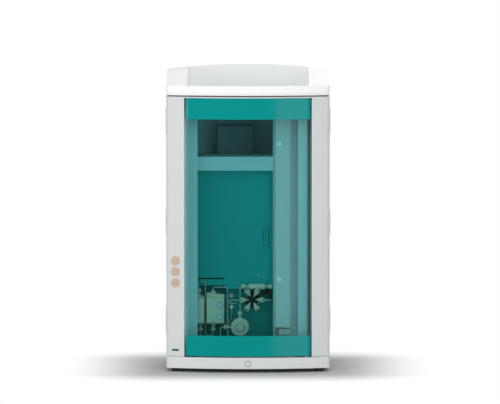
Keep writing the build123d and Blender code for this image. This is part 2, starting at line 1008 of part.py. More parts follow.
def leak_sensor_plug():
    """The plug of the leak sensor, with two round contacts in its face."""
    levels = (sensor_floor, sensor_floor + sensor_height)
    body = span((sensor_left, sensor_right), (sensor_front_y, frame_y), levels)
    body = chamfer(body.faces().sort_by(Axis.Y)[0].edges(), sensor_edge)
    middle = (sensor_left + sensor_right) / 2
    level = sensor_floor + sensor_height / 2
    for x in (middle - contact_spacing / 2, middle + contact_spacing / 2):
        body -= drilled(x, level, contact_radius, (sensor_front_y - 1, sensor_front_y + contact_depth))
    return body


def pump_head(left, right):
    """One pump head: a body against the panel and a thicker front plate with broken edges."""
    body = span((left, right), (pump_plate_y, niche_y), (head_floor, head_top))
    plate = span((left, right), (pump_front_y, pump_plate_y), (head_plate_floor, head_plate_top))
    plate = chamfer(plate.faces().sort_by(Axis.Y)[0].edges(), head_edge)
    return body + plate


def pump_head_main():
    """The main head, with the manifold on top of it."""
    body = pump_head(main_head_left, main_head_right)
    manifold = span((main_head_left, main_head_right), (pump_plate_y, niche_y), (head_top, manifold_top))
    step = span(
        (main_port_x + holder_radius + manifold_step_gap, main_head_right),
        (pump_plate_y - 1, niche_y),
        (manifold_top - manifold_step, manifold_top),
    )
    return body + manifold - step


def pump_head_aux():
    """The auxiliary head, partly behind the left pillar."""
    return pump_head(aux_head_left, aux_head_right)


def pump_valve_holders():
    """The check-valve holders: two on top of the heads and two below."""
    places = (
        (main_port_x, manifold_top, 1),
        (aux_port_x, head_top, 1),
        (main_port_x, head_floor, -1),
        (aux_inlet_x, head_floor, -1),
    )
    outline = (
        (0, 0),
        (holder_radius, 0),
        (holder_radius, holder_height - holder_edge),
        (holder_radius - holder_edge, holder_height),
        (0, holder_height),
    )
    holders = [turned(outline, (x, pump_port_y, level), (0, 0, up)) for x, level, up in places]
    return Compound(children=holders)


def thumb_screw(level):
    """One knurled screw: a scalloped head on a collar."""
    head = rod((thumb_screw_x, pump_front_y, level), (0, -1, 0), thumb_screw_radius, thumb_screw_stand)
    flute = (pump_front_y - thumb_screw_stand - 1, pump_front_y - 1)
    for index in range(thumb_screw_flutes):
        angle = math.radians(index * 360 / thumb_screw_flutes)
        x = thumb_screw_x + thumb_screw_radius * math.cos(angle)
        z = level + thumb_screw_radius * math.sin(angle)
        head -= drilled(x, z, thumb_screw_flute_radius, flute)
    return head


def pump_thumb_screws():
    """The two knurled screws of the main head."""
    return Compound(children=[thumb_screw(level) for level in thumb_screw_levels])


def finger_nut(point, direction):
    """A finger-tight nut: a tip on the point, a cone and a round head."""
    outline = (
        (0, 0),
        (nut_tip_radius, 0),
        (nut_radius, nut_length - nut_head_length),
        (nut_radius, nut_length - nut_edge),
        (nut_radius - nut_edge, nut_length),
        (0, nut_length),
    )
    return turned(outline, point, direction)


def nut_end(point, direction):
    """Where the capillary leaves a finger-tight nut."""
    return tuple(start + nut_length * step for start, step in zip(point, direction))


aux_outlet = ((aux_port_x, pump_port_y, head_top + holder_height), (0, 0, 1))
main_inlet = ((main_port_x, pump_port_y, head_floor - holder_height), (0, 0, -1))
aux_inlet = ((aux_inlet_x, pump_port_y, head_floor - holder_height), (0, 0, -1))
damper_inlet = ((damper_inlet_x + nut_length, damper_port_y, damper_level), (-1, 0, 0))
damper_outlet = ((damper_x, damper_port_y, damper_level + damper_radius + damper_neck_reach), (0, 0, 1))
filter_inlet = ((filter_nut_left + nut_length, filter_y, filter_level), (-1, 0, 0))
filter_outlet = ((filter_nut_right - nut_length, filter_y, filter_level), (1, 0, 0))


def finger_nuts():
    """The finger-tight nuts of the pump, the damper and the filter."""
    pump_places = (aux_outlet, main_inlet, aux_inlet)
    places = pump_places + (damper_inlet, damper_outlet, filter_inlet, filter_outlet)
    return Compound(children=[finger_nut(*place) for place in places])


def damper():
    """The pulsation damper: a stepped disc with a raised cap and two port necks."""
    front = recess_y - damper_thickness
    groove_radius = damper_cap_radius + damper_groove
    cap_top = damper_thickness + damper_cap_stand
    outline = (
        (0, 0),
        (damper_radius, 0),
        (damper_radius, damper_thickness - damper_edge),
        (damper_radius - damper_edge, damper_thickness),
        (groove_radius, damper_thickness),
        (groove_radius, damper_thickness - damper_groove_depth),
        (damper_cap_radius, damper_thickness - damper_groove_depth),
        (damper_cap_radius, cap_top - damper_cap_edge),
        (damper_cap_radius - damper_cap_edge, cap_top),
        (damper_cap_radius / 2, cap_top),
        (0, cap_top - damper_cap_dish),
    )
    body = turned(outline, (damper_x, recess_y, damper_level), (0, -1, 0))
    place = damper_hole_share * damper_cap_radius
    for index in range(damper_holes):
        angle = math.radians((index + 0.5) * 360 / damper_holes)
        x = damper_x + place * math.cos(angle)
        z = damper_level + place * math.sin(angle)
        body -= drilled(x, z, damper_hole_radius, (front - damper_cap_stand - 1, front))
    neck_radius = nut_tip_radius + neck_wall
    start = (damper_x, damper_port_y, damper_level)
    up = rod(start, (0, 0, 1), neck_radius, damper_radius + damper_neck_reach)
    left = rod(start, (-1, 0, 0), neck_radius, damper_x - damper_inlet[0][0])
    return body + up + left


def valve_axis(angle):
    """The direction of one valve nut: outwards and towards the door."""
    tilt = math.radians(valve_nut_tilt)
    turn = math.radians(angle)
    return (math.cos(tilt) * math.cos(turn), -math.sin(tilt), math.cos(tilt) * math.sin(turn))


def valve_port(angle):
    """The middle of one port on the valve's conical face."""
    turn = math.radians(angle)
    return (
        valve_x + valve_seat_radius * math.cos(turn),
        valve_seat_y,
        valve_level + valve_seat_radius * math.sin(turn),
    )


def valve_nut_end(angle):
    """The middle of one valve nut's outer face."""
    port = valve_port(angle)
    return tuple(start + valve_nut_length * step for start, step in zip(port, valve_axis(angle)))


def port_angles():
    """The angles of the valve's ports."""
    return [index * 360 / valve_port_count for index in range(valve_port_count)]


def valve_stator():
    """The valve's fixed head: a flange on the panel and a cone that takes the nuts square on."""
    tilt = math.radians(valve_nut_tilt)
    rise = valve_seat_half * math.cos(tilt)
    run = valve_seat_half * math.sin(tilt)
    seat = recess_y - valve_seat_y
    outline = (
        (0, 0),
        (valve_flange_radius, 0),
        (valve_flange_radius, valve_flange_thickness),
        (valve_seat_radius + run, valve_flange_thickness),
        (valve_seat_radius + run, seat - rise),
        (valve_seat_radius - run, seat + rise),
        (0, seat + rise),
    )
    return turned(outline, (valve_x, recess_y, valve_level), (0, -1, 0))


def valve_screws():
    """The two socket screws in the valve's flange."""
    screws = []
    for angle in valve_screw_angles:
        x = valve_x + valve_screw_pitch * math.cos(math.radians(angle))
        z = valve_level + valve_screw_pitch * math.sin(math.radians(angle))
        place = (x, recess_y - valve_flange_thickness, z)
        screws.append(rod(place, (0, -1, 0), valve_screw_radius, valve_screw_stand))
    return Compound(children=screws)


def valve_nut(angle):
    """One of the valve's nuts: a slender cone that widens to a round head, open where no line leaves it."""
    outline = [
        (0, 0),
        (nut_tip_radius, 0),
        (valve_nut_radius, valve_nut_length - valve_nut_head),
        (valve_nut_radius, valve_nut_length - nut_edge),
        (valve_nut_radius - nut_edge, valve_nut_length),
    ]
    if angle in valve_line_angles:
        outline += [(0, valve_nut_length)]
    else:
        hole_floor = valve_nut_length - valve_nut_hole_depth
        outline += [(valve_nut_hole, valve_nut_length), (valve_nut_hole, hole_floor), (0, hole_floor)]
    return turned(outline, valve_port(angle), valve_axis(angle))


def valve_nuts():
    """The six nuts of the injection valve."""
    return Compound(children=[valve_nut(angle) for angle in port_angles()])


def filter_body():
    """The inline filter: a barrel, a collar, and the necks that the nuts screw on."""
    neck_radius = nut_tip_radius + neck_wall
    waist_radius = filter_radius - filter_neck_step
    outline = (
        (0, filter_inlet[0][0]),
        (nut_tip_radius, filter_inlet[0][0]),
        (neck_radius, filter_left),
        (filter_radius, filter_left),
        (filter_radius, filter_right),
        (waist_radius, filter_right),
        (waist_radius, filter_collar_left),
        (filter_collar_radius, filter_collar_left),
        (filter_collar_radius, filter_collar_right),
        (neck_radius, filter_collar_right),
        (nut_tip_radius, filter_outlet[0][0]),
        (0, filter_outlet[0][0]),
    )
    return turned(outline, (0, filter_y, filter_level), (1, 0, 0))


def filter_bracket():
    """The black bracket behind the filter: a back plate and two upright fins."""
    top = filter_level + filter_collar_radius / 2
    fin_front = filter_y + filter_collar_radius
    fins = []
    for start, width, floor in zip(bracket_fin_starts, bracket_fin_widths, bracket_fin_floors):
        x = (filter_left + start, filter_left + start + width)
        lower = span(x, (fin_front, recess_y), (floor, recess_top))
        upper = span(x, (fin_front, panel_y), (recess_top, top))
        fins.append(lower + upper)
    back = span(
        (filter_left + bracket_fin_starts[0], bracket_right()),
        (recess_y - bracket_thickness, recess_y),
        (recess_top - bracket_height, recess_top),
    )
    return back + fins[0] + fins[1]


def bracket_right():
    """The right-hand side of the bracket's second fin."""
    return filter_left + bracket_fin_starts[1] + bracket_fin_widths[1]


def bulkhead_fittings():
    """An open port and the purge valve's seat, side by side on the panel."""
    port_outline = (
        (0, 0),
        (port_radius, 0),
        (port_radius, port_reach),
        (port_bore, port_reach),
        (port_bore, port_reach - port_bore_depth),
        (0, port_reach - port_bore_depth),
    )
    port = turned(port_outline, (port_x, recess_y, port_level), (0, -1, 0))
    bore_radius = purge_stem_radius + running_clearance
    bore_floor = purge_seat_reach - purge_stem_reach - purge_gap
    seat_outline = (
        (0, 0),
        (purge_seat_radius, 0),
        (purge_seat_radius, purge_seat_reach),
        (bore_radius, purge_seat_reach),
        (bore_radius, bore_floor),
        (0, bore_floor),
    )
    seat = turned(seat_outline, (port_x, recess_y, purge_level), (0, -1, 0))
    outlet_y = recess_y - purge_seat_reach / 2
    outlet_start = purge_seat_radius - purge_outlet_root
    outlet = rod(
        (port_x, outlet_y, purge_level - outlet_start),
        (0, 0, -1),
        purge_outlet_radius,
        purge_outlet_reach - outlet_start,
    )
    return Compound(children=[port, seat + outlet])


def purge_knob():
    """The small knob of the purge valve, on a stem that turns in the seat."""
    face_y = recess_y - purge_seat_reach
    knob = rod((port_x, face_y - purge_gap, purge_level), (0, -1, 0), purge_knob_radius, purge_knob_length)
    knob = fillet(knob.faces().sort_by(Axis.Y)[0].edges(), purge_knob_edge)
    place = purge_knob_radius + purge_knob_flute_offset
    flute = (face_y - purge_gap - purge_knob_length - 1, face_y - purge_gap - 2 * purge_knob_edge)
    for index in range(purge_knob_flutes):
        angle = math.radians(index * 360 / purge_knob_flutes)
        x = port_x + place * math.cos(angle)
        z = purge_level + place * math.sin(angle)
        knob -= drilled(x, z, purge_knob_flute_radius, flute)
    stem = rod((port_x, face_y - purge_gap, purge_level), (0, 1, 0), purge_stem_radius, purge_stem_reach)
    return knob + stem


def capillary(points, radii):
    """A capillary along a route of straight runs joined by tangent arcs."""
    route = FilletPolyline(*points, radius=radii)
    start = route @ 0
    section = Plane(origin=start, z_dir=route % 0) * Circle(capillary_radius)
    return sweep(section, path=route)


def link_capillary():
    """From the auxiliary head's outlet over an arch, down the groove and round to the main head's inlet."""
    groove_x = (main_head_left + aux_head_right) / 2
    top = nut_end(*aux_outlet)
    low = nut_end(*main_inlet)
    arch_level = top[2] + link_arch_rise
    sag_level = low[2] - link_sag
    points = (
        top,
        (top[0], pump_port_y, arch_level),
        (groove_x, pump_port_y, arch_level),
        (groove_x, pump_port_y, sag_level),
        (low[0], pump_port_y, sag_level),
        low,
    )
    radii = (link_arch_radius, link_arch_radius, link_sag_radius, link_sag_radius)
    return capillary(points, radii)


def outlet_capillary():
    """From the main head's outlet down behind the door's lower band and round into the damper."""
    start = (main_port_x, pump_port_y, manifold_top + holder_height)
    end = (damper_inlet_x, damper_port_y, damper_level)
    drop_x = opening_left + outlet_drop_place
    return_x = end[0] - outlet_return
    top_level = start[2] + outlet_rise
    points = (
        start,
        (start[0], pump_port_y, top_level),
        (drop_x, pump_port_y, top_level),
        (drop_x, pump_port_y, outlet_sag_level),
        (return_x, end[1], outlet_sag_level),
        (return_x, end[1], end[2]),
        end,
    )
    rise = outlet_rise_radius
    sag = outlet_sag_radius
    return capillary(points, (rise, rise, sag, sag, rise))


def damper_capillary():
    """From the damper straight up and into the filter."""
    start = nut_end(*damper_outlet)
    end = nut_end(*filter_inlet)
    points = (start, (start[0], filter_y, end[2]), end)
    return capillary(points, (damper_bend_radius,))


def valve_line_start(angle):
    """The first two points of a line that leaves one of the valve's nuts."""
    start = valve_nut_end(angle)
    bend = tuple(place + valve_line_lead * step for place, step in zip(start, valve_axis(angle)))
    return start, bend


def loop_capillary():
    """From the valve's left port out, back in a tight turn and through the panel."""
    start, bend = valve_line_start(180)
    turn_x = opening_left + loop_turn_place
    entry_x = opening_left + loop_entry_place
    return_level = valve_level - loop_drop
    points = (
        start,
        bend,
        (turn_x, bend[1], valve_level),
        (turn_x, bend[1], return_level),
        (entry_x, bend[1], return_level),
        (entry_x, recess_y, return_level),
    )
    radii = (valve_line_radius, loop_turn_radius, loop_turn_radius, valve_line_entry_radius)
    return capillary(points, radii)


def valve_right_line():
    """From the valve's right port past the bracket and through the panel."""
    start, bend = valve_line_start(0)
    x = bracket_right() + valve_line_gap
    points = (start, bend, (x, bend[1], valve_level), (x, recess_y, valve_level))
    return capillary(points, (valve_line_radius, valve_line_entry_radius))


def pump_inlet_line():
    """From the auxiliary head's inlet down and back through the panel."""
    x, y, level = nut_end(*aux_inlet)
    floor = level - inlet_drop
    return capillary(((x, y, level), (x, y, floor), (x, niche_y, floor)), (inlet_bend_radius,))


def purge_line():
    """From the purge valve's outlet down and back through the panel."""
    y = recess_y - purge_seat_reach / 2
    top = purge_level - purge_outlet_reach
    x = port_x - purge_line_shift
    straight, slanted, low = [top - drop for drop in purge_line_drops]
    points = ((port_x, y, top), (port_x, y, straight), (x, y, slanted), (x, y, low), (x, recess_y, low))
    return capillary(points, (purge_line_radius, purge_line_radius, purge_line_entry_radius))


def short_capillaries():
    """The valve's right line, the pump's inlet line, the purge line and the filter's outlet line."""
    start = nut_end(*filter_outlet)
    outlet = rod(start, (1, 0, 0), capillary_radius, opening_right - start[0])
    return Compound(children=[valve_right_line(), pump_inlet_line(), purge_line(), outlet])


def pump_drive_unit():
    """The pump's gearbox and motor behind the niche."""
    middle = (main_head_right + aux_head_left) / 2
    level = (head_floor + head_top) / 2
    start = niche_y + panel_wall
    box = span(
        (middle - drive_width / 2, middle + drive_width / 2),
        (start, start + drive_depth),
        (level - drive_height / 2, level + drive_height / 2),
    )
    box = chamfer(box.edges().filter_by(Axis.Y), drive_edge)
    return box + rod((middle, start + drive_depth, level), (0, 1, 0), motor_radius, motor_length)


def valve_actuator():
    """The valve's geared motor behind the recess."""
    start = recess_y + panel_wall
    half = actuator_size / 2
    end = start + actuator_depth
    box = span((valve_x - half, valve_x + half), (start, end), (valve_level - half, valve_level + half))
    box = chamfer(box.edges().filter_by(Axis.Y), actuator_edge)
    motor = rod((valve_x, end, valve_level), (0, 1, 0), half - actuator_motor_inset, actuator_depth / 2)
    return box + motor


def power_supply():
    """The power supply on the floor of the base, with a slotted lid."""
    floor = feet_height + base_floor
    top = floor + supply_height
    back = back_y - supply_back_inset
    front = back - supply_depth
    box = span((supply_left, supply_left + supply_width), (front, back), (floor, top))
    pitch = supply_width / supply_slots
    for index in range(supply_slots):
        x = supply_left + (index + 0.5) * pitch
        box -= span(
            (x - supply_slot_width / 2, x + supply_slot_width / 2),
            (front + supply_slot_margin, back - supply_slot_margin),
            (top - supply_slot_depth, top + 1),
        )
    return box


def control_board():
    """The control board on stand-offs inside the right side panel, with its main parts."""
    right = side_inner - board_standoff
    left = right - board_thickness
    front = (column_back_y + back_y - board_width) / 2
    back = front + board_width
    top = board_floor + board_height
    board = span((left, right), (front, back), (board_floor, top))
    for y in (front + board_standoff_inset, back - board_standoff_inset):
        for z in (board_floor + board_standoff_inset, top - board_standoff_inset):
            board += rod((right, y, z), (1, 0, 0), board_standoff_radius, board_standoff)
    for row in range(board_rows):
        y = front + board_row_start + row * board_row_pitch
        chip_floor = board_floor + chip_level
        terminal_floor = board_floor + terminal_level
        board += span((left - chip_height, left), (y, y + chip_size), (chip_floor, chip_floor + chip_size))
        board += span(
            (left - terminal_width, left),
            (y, y + terminal_width),
            (terminal_floor, terminal_floor + terminal_length),
        )
    return board


def inlet_cut(clearance):
    """The rectangle of the mains inlet in the rear panel."""
    half_width = inlet_half_width + clearance
    half_height = inlet_half_height + clearance
    x = (inlet_x - half_width, inlet_x + half_width)
    return x, (inlet_level - half_height, inlet_level + half_height)


def switch_zone(margin):
    """The rectangle of the power switch, grown by a margin."""
    half_width = switch_half_width + margin
    half_height = switch_half_height + margin
    x = (switch_x - half_width, switch_x + half_width)
    return x, (inlet_level - half_height, inlet_level + half_height)


def rear_panel():
    """The rear panel with the fan hole, the vent slots and the cut-outs of the inlet and the switch."""
    panel = span((-side_inner, side_inner), (rear_inner_y, back_y), (shell_floor, roof_floor))
    through = (rear_inner_y - 1, back_y + 1)
    panel -= drilled(fan_x, fan_level, fan_bore, through)
    for x, z in (inlet_cut(cut_clearance), switch_zone(cut_clearance)):
        panel -= span(x, through, z)
    for index in range(vent_slots):
        level = vent_floor + index * vent_pitch
        slot = (vent_x - vent_width / 2, vent_x + vent_width / 2)
        panel -= span(slot, through, (level, level + vent_height))
    return panel


def rear_screw_places():
    """The screws round the edge of the rear panel and on the fan guard's ears."""
    x = side_inner - rear_screw_inset
    floor = shell_floor + rear_screw_inset
    top = roof_floor - rear_screw_inset
    pitch = (top - floor) / (rear_screws_per_side - 1)
    edge = [(side * x, floor + index * pitch) for side in (-1, 1) for index in range(rear_screws_per_side)]
    ear = fan_size / 2 - guard_ear
    fan = [(fan_x + a * ear, fan_level + b * ear) for a in (-1, 1) for b in (-1, 1)]
    return [(x, z, 0.0) for x, z in edge] + [(x, z, guard_thickness) for x, z in fan]


def rear_panel_screws():
    """Pan-head screws on the rear panel."""
    outline = (
        (0, 0),
        (rear_screw_radius, 0),
        (rear_screw_radius, rear_screw_stand / 2),
        (rear_screw_radius - rear_screw_edge, rear_screw_stand),
        (0, rear_screw_stand),
    )
    places = [(x, back_y + lift, z) for x, z, lift in rear_screw_places()]
    return Compound(children=[turned(outline, place, (0, 1, 0)) for place in places])


def fan_guard():
    """The fan guard: four rings, two crossed bars and four ears for screws."""
    sketch = Sketch()
    for radius in guard_rings:
        sketch += Circle(radius + guard_wire / 2) - Circle(radius - guard_wire / 2)
    reach = math.hypot(fan_size / 2 - guard_ear, fan_size / 2 - guard_ear)
    for angle in (45, 135):
        bar = Rot(0, 0, angle) * Rectangle(2 * reach, guard_wire)
        sketch += bar - Circle(guard_rings[0])
    for angle in (45, 135, 225, 315):
        sketch += Rot(0, 0, angle) * Pos(reach, 0) * Circle(rear_screw_radius + guard_wire / 2)
    plane = Plane(origin=(fan_x, back_y, fan_level), z_dir=(0, 1, 0))
    return plane * extrude(sketch, guard_thickness)


def fan_housing():
    """The fan's square frame, with the arms and the cup that carry the rotor."""
    half = fan_size / 2
    front = rear_inner_y - fan_depth
    frame = span((fan_x - half, fan_x + half), (front, rear_inner_y), (fan_level - half, fan_level + half))
    frame = fillet(frame.edges().filter_by(Axis.Y), fan_corner_radius)
    frame -= drilled(fan_x, fan_level, fan_bore, (front - 1, rear_inner_y + 1))
    cup = drilled(fan_x, fan_level, fan_hub + fan_cup_wall, (front, front + fan_cup_depth))
    plane = Plane(origin=(fan_x, front + fan_arm_depth / 2, fan_level), z_dir=(0, 1, 0))
    for angle in (0, 90, 180, 270):
        arm = Pos((fan_hub + fan_bore) / 2, 0, 0) * Box(fan_bore - fan_hub + 2, fan_arm_width, fan_arm_depth)
        cup += plane * (Rot(0, 0, angle) * arm)
    cup -= drilled(fan_x, fan_level, fan_shaft + running_clearance, (front - 1, front + fan_cup_depth + 1))
    return frame + cup


def fan_rotor():
    """The fan's rotor: a hub on a shaft, and pitched blades."""
    front = rear_inner_y - fan_depth
    y = (front + fan_cup_depth + fan_cup_gap, rear_inner_y - fan_rear_gap)
    hub = drilled(fan_x, fan_level, fan_hub, y)
    shaft = drilled(fan_x, fan_level, fan_shaft, (front + fan_cup_gap, y[0] + 1))
    plane = Plane(origin=(fan_x, (y[0] + y[1]) / 2, fan_level), z_dir=(0, 1, 0))
    ring = plane * Cylinder(fan_bore - fan_tip_gap, y[1] - y[0] - 1)
    size = (fan_bore - fan_hub + 2, fan_blade_thickness, fan_blade_chord)
    blade = Pos((fan_hub + fan_bore) / 2, 0, 0) * Rot(fan_blade_pitch, 0, 0) * Box(*size)
    turns = [Rot(0, 0, index * 360 / fan_blades) for index in range(fan_blades)]
    return joined([hub, shaft] + [plane * (turn * blade) & ring for turn in turns])


def power_inlet():
    """The mains inlet: a flange, a shrouded cavity and three blades."""
    (x0, x1), (z0, z1) = inlet_cut(0)
    rim = inlet_flange_rim
    flange_x = (x0 - inlet_flange_margin, x1 + inlet_flange_margin)
    flange = span(flange_x, (back_y, back_y + rim), (z0 - rim, z1 + rim))
    flange = fillet(flange.edges().filter_by(Axis.Y), rim)
    body = span((x0, x1), (back_y - inlet_depth, back_y), (z0, z1))
    cavity = span(
        (x0 + inlet_side_wall, x1 - inlet_side_wall),
        (back_y - inlet_cavity_depth, back_y + rim + 1),
        (z0 + rim, z1 - rim),
    )
    cavity = chamfer(cavity.edges().filter_by(Axis.Y).sort_by(Axis.Z)[-2:], inlet_corner)
    inlet = flange + body - cavity
    for x, z in inlet_blades:
        middle = (inlet_x + x, inlet_level + z)
        inlet += span(
            (middle[0] - inlet_blade_half_width, middle[0] + inlet_blade_half_width),
            (back_y - inlet_cavity_depth - 1, back_y - inlet_blade_recess),
            (middle[1] - inlet_blade_half_height, middle[1] + inlet_blade_half_height),
        )
    return inlet


def rocker_y():
    """The depth of the rocker's pivot."""
    return back_y - rocker_setback


def switch_frame():
    """The frame of the power switch, with bores for the rocker's pins."""
    flange_x, flange_z = switch_zone(switch_rim)
    body_x, body_z = switch_zone(0)
    well_x, well_z = switch_zone(-switch_wall)
    flange = span(flange_x, (back_y, back_y + switch_flange), flange_z)
    body = span(body_x, (back_y - switch_depth, back_y), body_z)
    well = span(well_x, (back_y - switch_depth + 2 * switch_wall, back_y + switch_flange + 1), well_z)
    bore_radius = rocker_pin_radius + running_clearance
    length = body_x[1] - body_x[0] + 2
    bore = rod((body_x[0] - 1, rocker_y(), inlet_level), (1, 0, 0), bore_radius, length)
    return flange + body - well - bore


def switch_rocker():
    """The rocker, resting with its upper half pressed in."""
    edge = rocker_rise - rocker_half_height * math.tan(math.radians(rocker_tilt))
    outline = Polyline(
        (0, rocker_rise, 0),
        (0, edge, rocker_half_height),
        (0, rocker_skirt, rocker_half_height),
        (0, -rocker_root, rocker_root),
        (0, -rocker_root, -rocker_root),
        (0, rocker_skirt, -rocker_half_height),
        (0, edge, -rocker_half_height),
        close=True,
    )
    rocker = extrude(make_face(outline), rocker_half_width, both=True, dir=(1, 0, 0))
    pin_half = switch_half_width - rocker_pin_gap
    rocker += rod((-pin_half, 0, 0), (1, 0, 0), rocker_pin_radius, 2 * pin_half)
    return Pos(switch_x, rocker_y(), inlet_level) * (Rot(rocker_tilt, 0, 0) * rocker)


def rear_sockets():
    """The data sockets: three metal shells on plates with rounded corners."""
    sockets = []
    for level, half in zip(socket_levels, socket_half_widths):
        plate_end = back_y + socket_plate
        plate = span(
            (socket_x - half, socket_x + half),
            (back_y, plate_end),
            (level - socket_half_height, level + socket_half_height),
        )
        plate = fillet(plate.edges().filter_by(Axis.Y), socket_corner)
        nose_half = half - socket_nose_inset
        nose = span(
            (socket_x - nose_half, socket_x + nose_half),
            (plate_end, back_y + socket_nose_reach),
            (level - socket_nose_half_height, level + socket_nose_half_height),
        )
        nose = fillet(nose.edges().filter_by(Axis.Y), socket_plate)
        sockets.append(plate + nose)
    return Compound(children=sockets)


parts = {
    "base_tray": base_tray(),
    "drain_plug": drain_plug(),
    "rubber_feet": rubber_feet(),
    "drain_nozzle": drain_nozzle(),
    "roof_plate": roof_plate(),
    "bottle_tray": bottle_tray(),
    "left_front_column": left_front_column(),
    "right_front_column": front_column(),
    "column_plugs": column_plugs(),
    "status_window": status_window(),
    "left_side_panel": mirrored(side_panel()),
    "right_side_panel": side_panel(),
    "left_side_covers": mirrored(side_covers()),
    "right_side_covers": side_covers(),
    "door_pane": door_pane(),
    "door_rails": door_rails(),
    "magnet_strikers": magnet_strikers(),
    "magnet_catches": magnet_catches(),
    "hinge_pins": hinge_pins(),
    "inner_frame": inner_frame(),
    "detector_bay": detector_bay(),
    "detector_block": detector_block(),
    "wet_panel": wet_panel(),
    "panel_screw": panel_screw(),
    "capillary_duct": capillary_duct(),
    "duct_buttons": duct_buttons(),
    "duct_rail": duct_rail(),
    "leak_sensor_plug": leak_sensor_plug(),
    "pump_head_main": pump_head_main(),
    "pump_head_aux": pump_head_aux(),
    "pump_valve_holders": pump_valve_holders(),
    "pump_thumb_screws": pump_thumb_screws(),
    "finger_nuts": finger_nuts(),
    "damper": damper(),
    "valve_stator": valve_stator(),
    "valve_screws": valve_screws(),
    "valve_nuts": valve_nuts(),
    "filter_body": filter_body(),
    "filter_bracket": filter_bracket(),
    "bulkhead_fittings": bulkhead_fittings(),
    "purge_knob": purge_knob(),
    "link_capillary": link_capillary(),
    "outlet_capillary": outlet_capillary(),
    "damper_capillary": damper_capillary(),
    "loop_capillary": loop_capillary(),
    "short_capillaries": short_capillaries(),
    "pump_drive_unit": pump_drive_unit(),
    "valve_actuator": valve_actuator(),
    "power_supply": power_supply(),
    "control_board": control_board(),
    "rear_panel": rear_panel(),
    "rear_panel_screws": rear_panel_screws(),
    "fan_guard": fan_guard(),
    "fan_housing": fan_housing(),
    "fan_rotor": fan_rotor(),
    "power_inlet": power_inlet(),
    "switch_frame": switch_frame(),
    "switch_rocker": switch_rocker(),
    "rear_sockets": rear_sockets(),
}

os.makedirs("parts", exist_ok=True)
for name, shape in parts.items():
    export_step(shape, f"parts/{name}.step")
print(len(parts), "nodes")
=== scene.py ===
# %% [markdown]
# # A bench-top ion chromatograph
# The instrument is a white tower with a bowed, teal-tinted door. Behind the door sit a pump, a pulsation
# damper, an inline filter and a six-port injection valve, joined by thin capillaries.
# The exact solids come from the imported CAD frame. This script dresses them: it gives every solid a finish
# made of shader nodes, replaces the door's sheet and three sets of screws by finer ones, and adds the fine
# detail.

# %% Load the frame
import bpy
import math
import bmesh
import numpy
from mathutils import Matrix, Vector


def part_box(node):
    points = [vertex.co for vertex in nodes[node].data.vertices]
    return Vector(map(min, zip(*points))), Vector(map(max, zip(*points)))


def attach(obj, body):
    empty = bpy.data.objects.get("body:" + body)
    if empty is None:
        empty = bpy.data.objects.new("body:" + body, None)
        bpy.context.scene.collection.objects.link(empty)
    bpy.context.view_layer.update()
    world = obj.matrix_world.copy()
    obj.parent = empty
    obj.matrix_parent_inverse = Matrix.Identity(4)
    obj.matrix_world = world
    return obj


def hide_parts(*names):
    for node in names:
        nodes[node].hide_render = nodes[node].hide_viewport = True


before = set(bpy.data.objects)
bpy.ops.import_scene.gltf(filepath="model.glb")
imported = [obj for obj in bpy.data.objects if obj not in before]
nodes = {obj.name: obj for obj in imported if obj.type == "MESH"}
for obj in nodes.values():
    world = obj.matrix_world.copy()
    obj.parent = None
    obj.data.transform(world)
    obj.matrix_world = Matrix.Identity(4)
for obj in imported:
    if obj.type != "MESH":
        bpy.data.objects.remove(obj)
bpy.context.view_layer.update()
MM = 0.001

# %% [markdown]
# ## Camera
# The photograph is taken from far away, a little above the middle of the object, so upright edges stay
# nearly parallel. A wide lens close by would bulge the tower; a long lens at 18 m keeps it straight.

# %% Place the camera
camera_place = (0.0044, -18.152, 1.44)
camera_target = (0.0044, -0.152, 0.374)
camera_data = bpy.data.cameras.new("front_camera")
camera_data.lens = 591.0
camera_data.sensor_width = 36.0
camera_data.clip_end = 200.0
camera = bpy.data.objects.new("front_camera", camera_data)
bpy.context.scene.collection.objects.link(camera)
camera.location = camera_place
aim = Vector(camera_target) - camera.location
camera.rotation_euler = aim.to_track_quat("-Z", "Y").to_euler()
bpy.context.scene.camera = camera
bpy.context.scene.view_settings.view_transform = "Standard"
print("camera looks down by", round(math.degrees(math.asin(-aim.normalized().z)), 2), "degrees")

# %% [markdown]
# ## Shader sums written as Python
# A pattern is a sum of textures, and a long chain of Math nodes is hard to read. The class below wraps a
# socket, so that `0.4 + 0.1 * grain` adds the Math nodes by itself. Colours never go through Math nodes,
# which would turn them grey; they use a Mix node.

# %% The socket class and the paint box
class Socket:
    """An output socket that takes part in sums; each operator adds its Math node."""

    def __init__(self, paint, socket):
        self.paint = paint
        self.socket = socket

    def math(self, operation, first, second=0.0):
        return self.paint.add("ShaderNodeMath", {"operation": operation}, first, second)

    def __add__(self, other):
        return self.math("ADD", self, other)

    def __radd__(self, other):
        return self.math("ADD", other, self)

    def __sub__(self, other):
        return self.math("SUBTRACT", self, other)

    def __rsub__(self, other):
        return self.math("SUBTRACT", other, self)

    def __mul__(self, other):
        return self.math("MULTIPLY", self, other)

    def __rmul__(self, other):
        return self.math("MULTIPLY", other, self)

    def __pow__(self, other):
        return self.math("POWER", self, other)

    def __gt__(self, other):
        return self.math("GREATER_THAN", self, other)

    def wave(self):
        """The sine of the value, between -1 and 1."""
        return self.math("SINE", self)

    def size(self):
        """The value without its sign."""
        return self.math("ABSOLUTE", self)

    def largest(self, other):
        """The larger of two values."""
        return self.math("MAXIMUM", self, other)


mix_vector_inputs = (None,) * 5


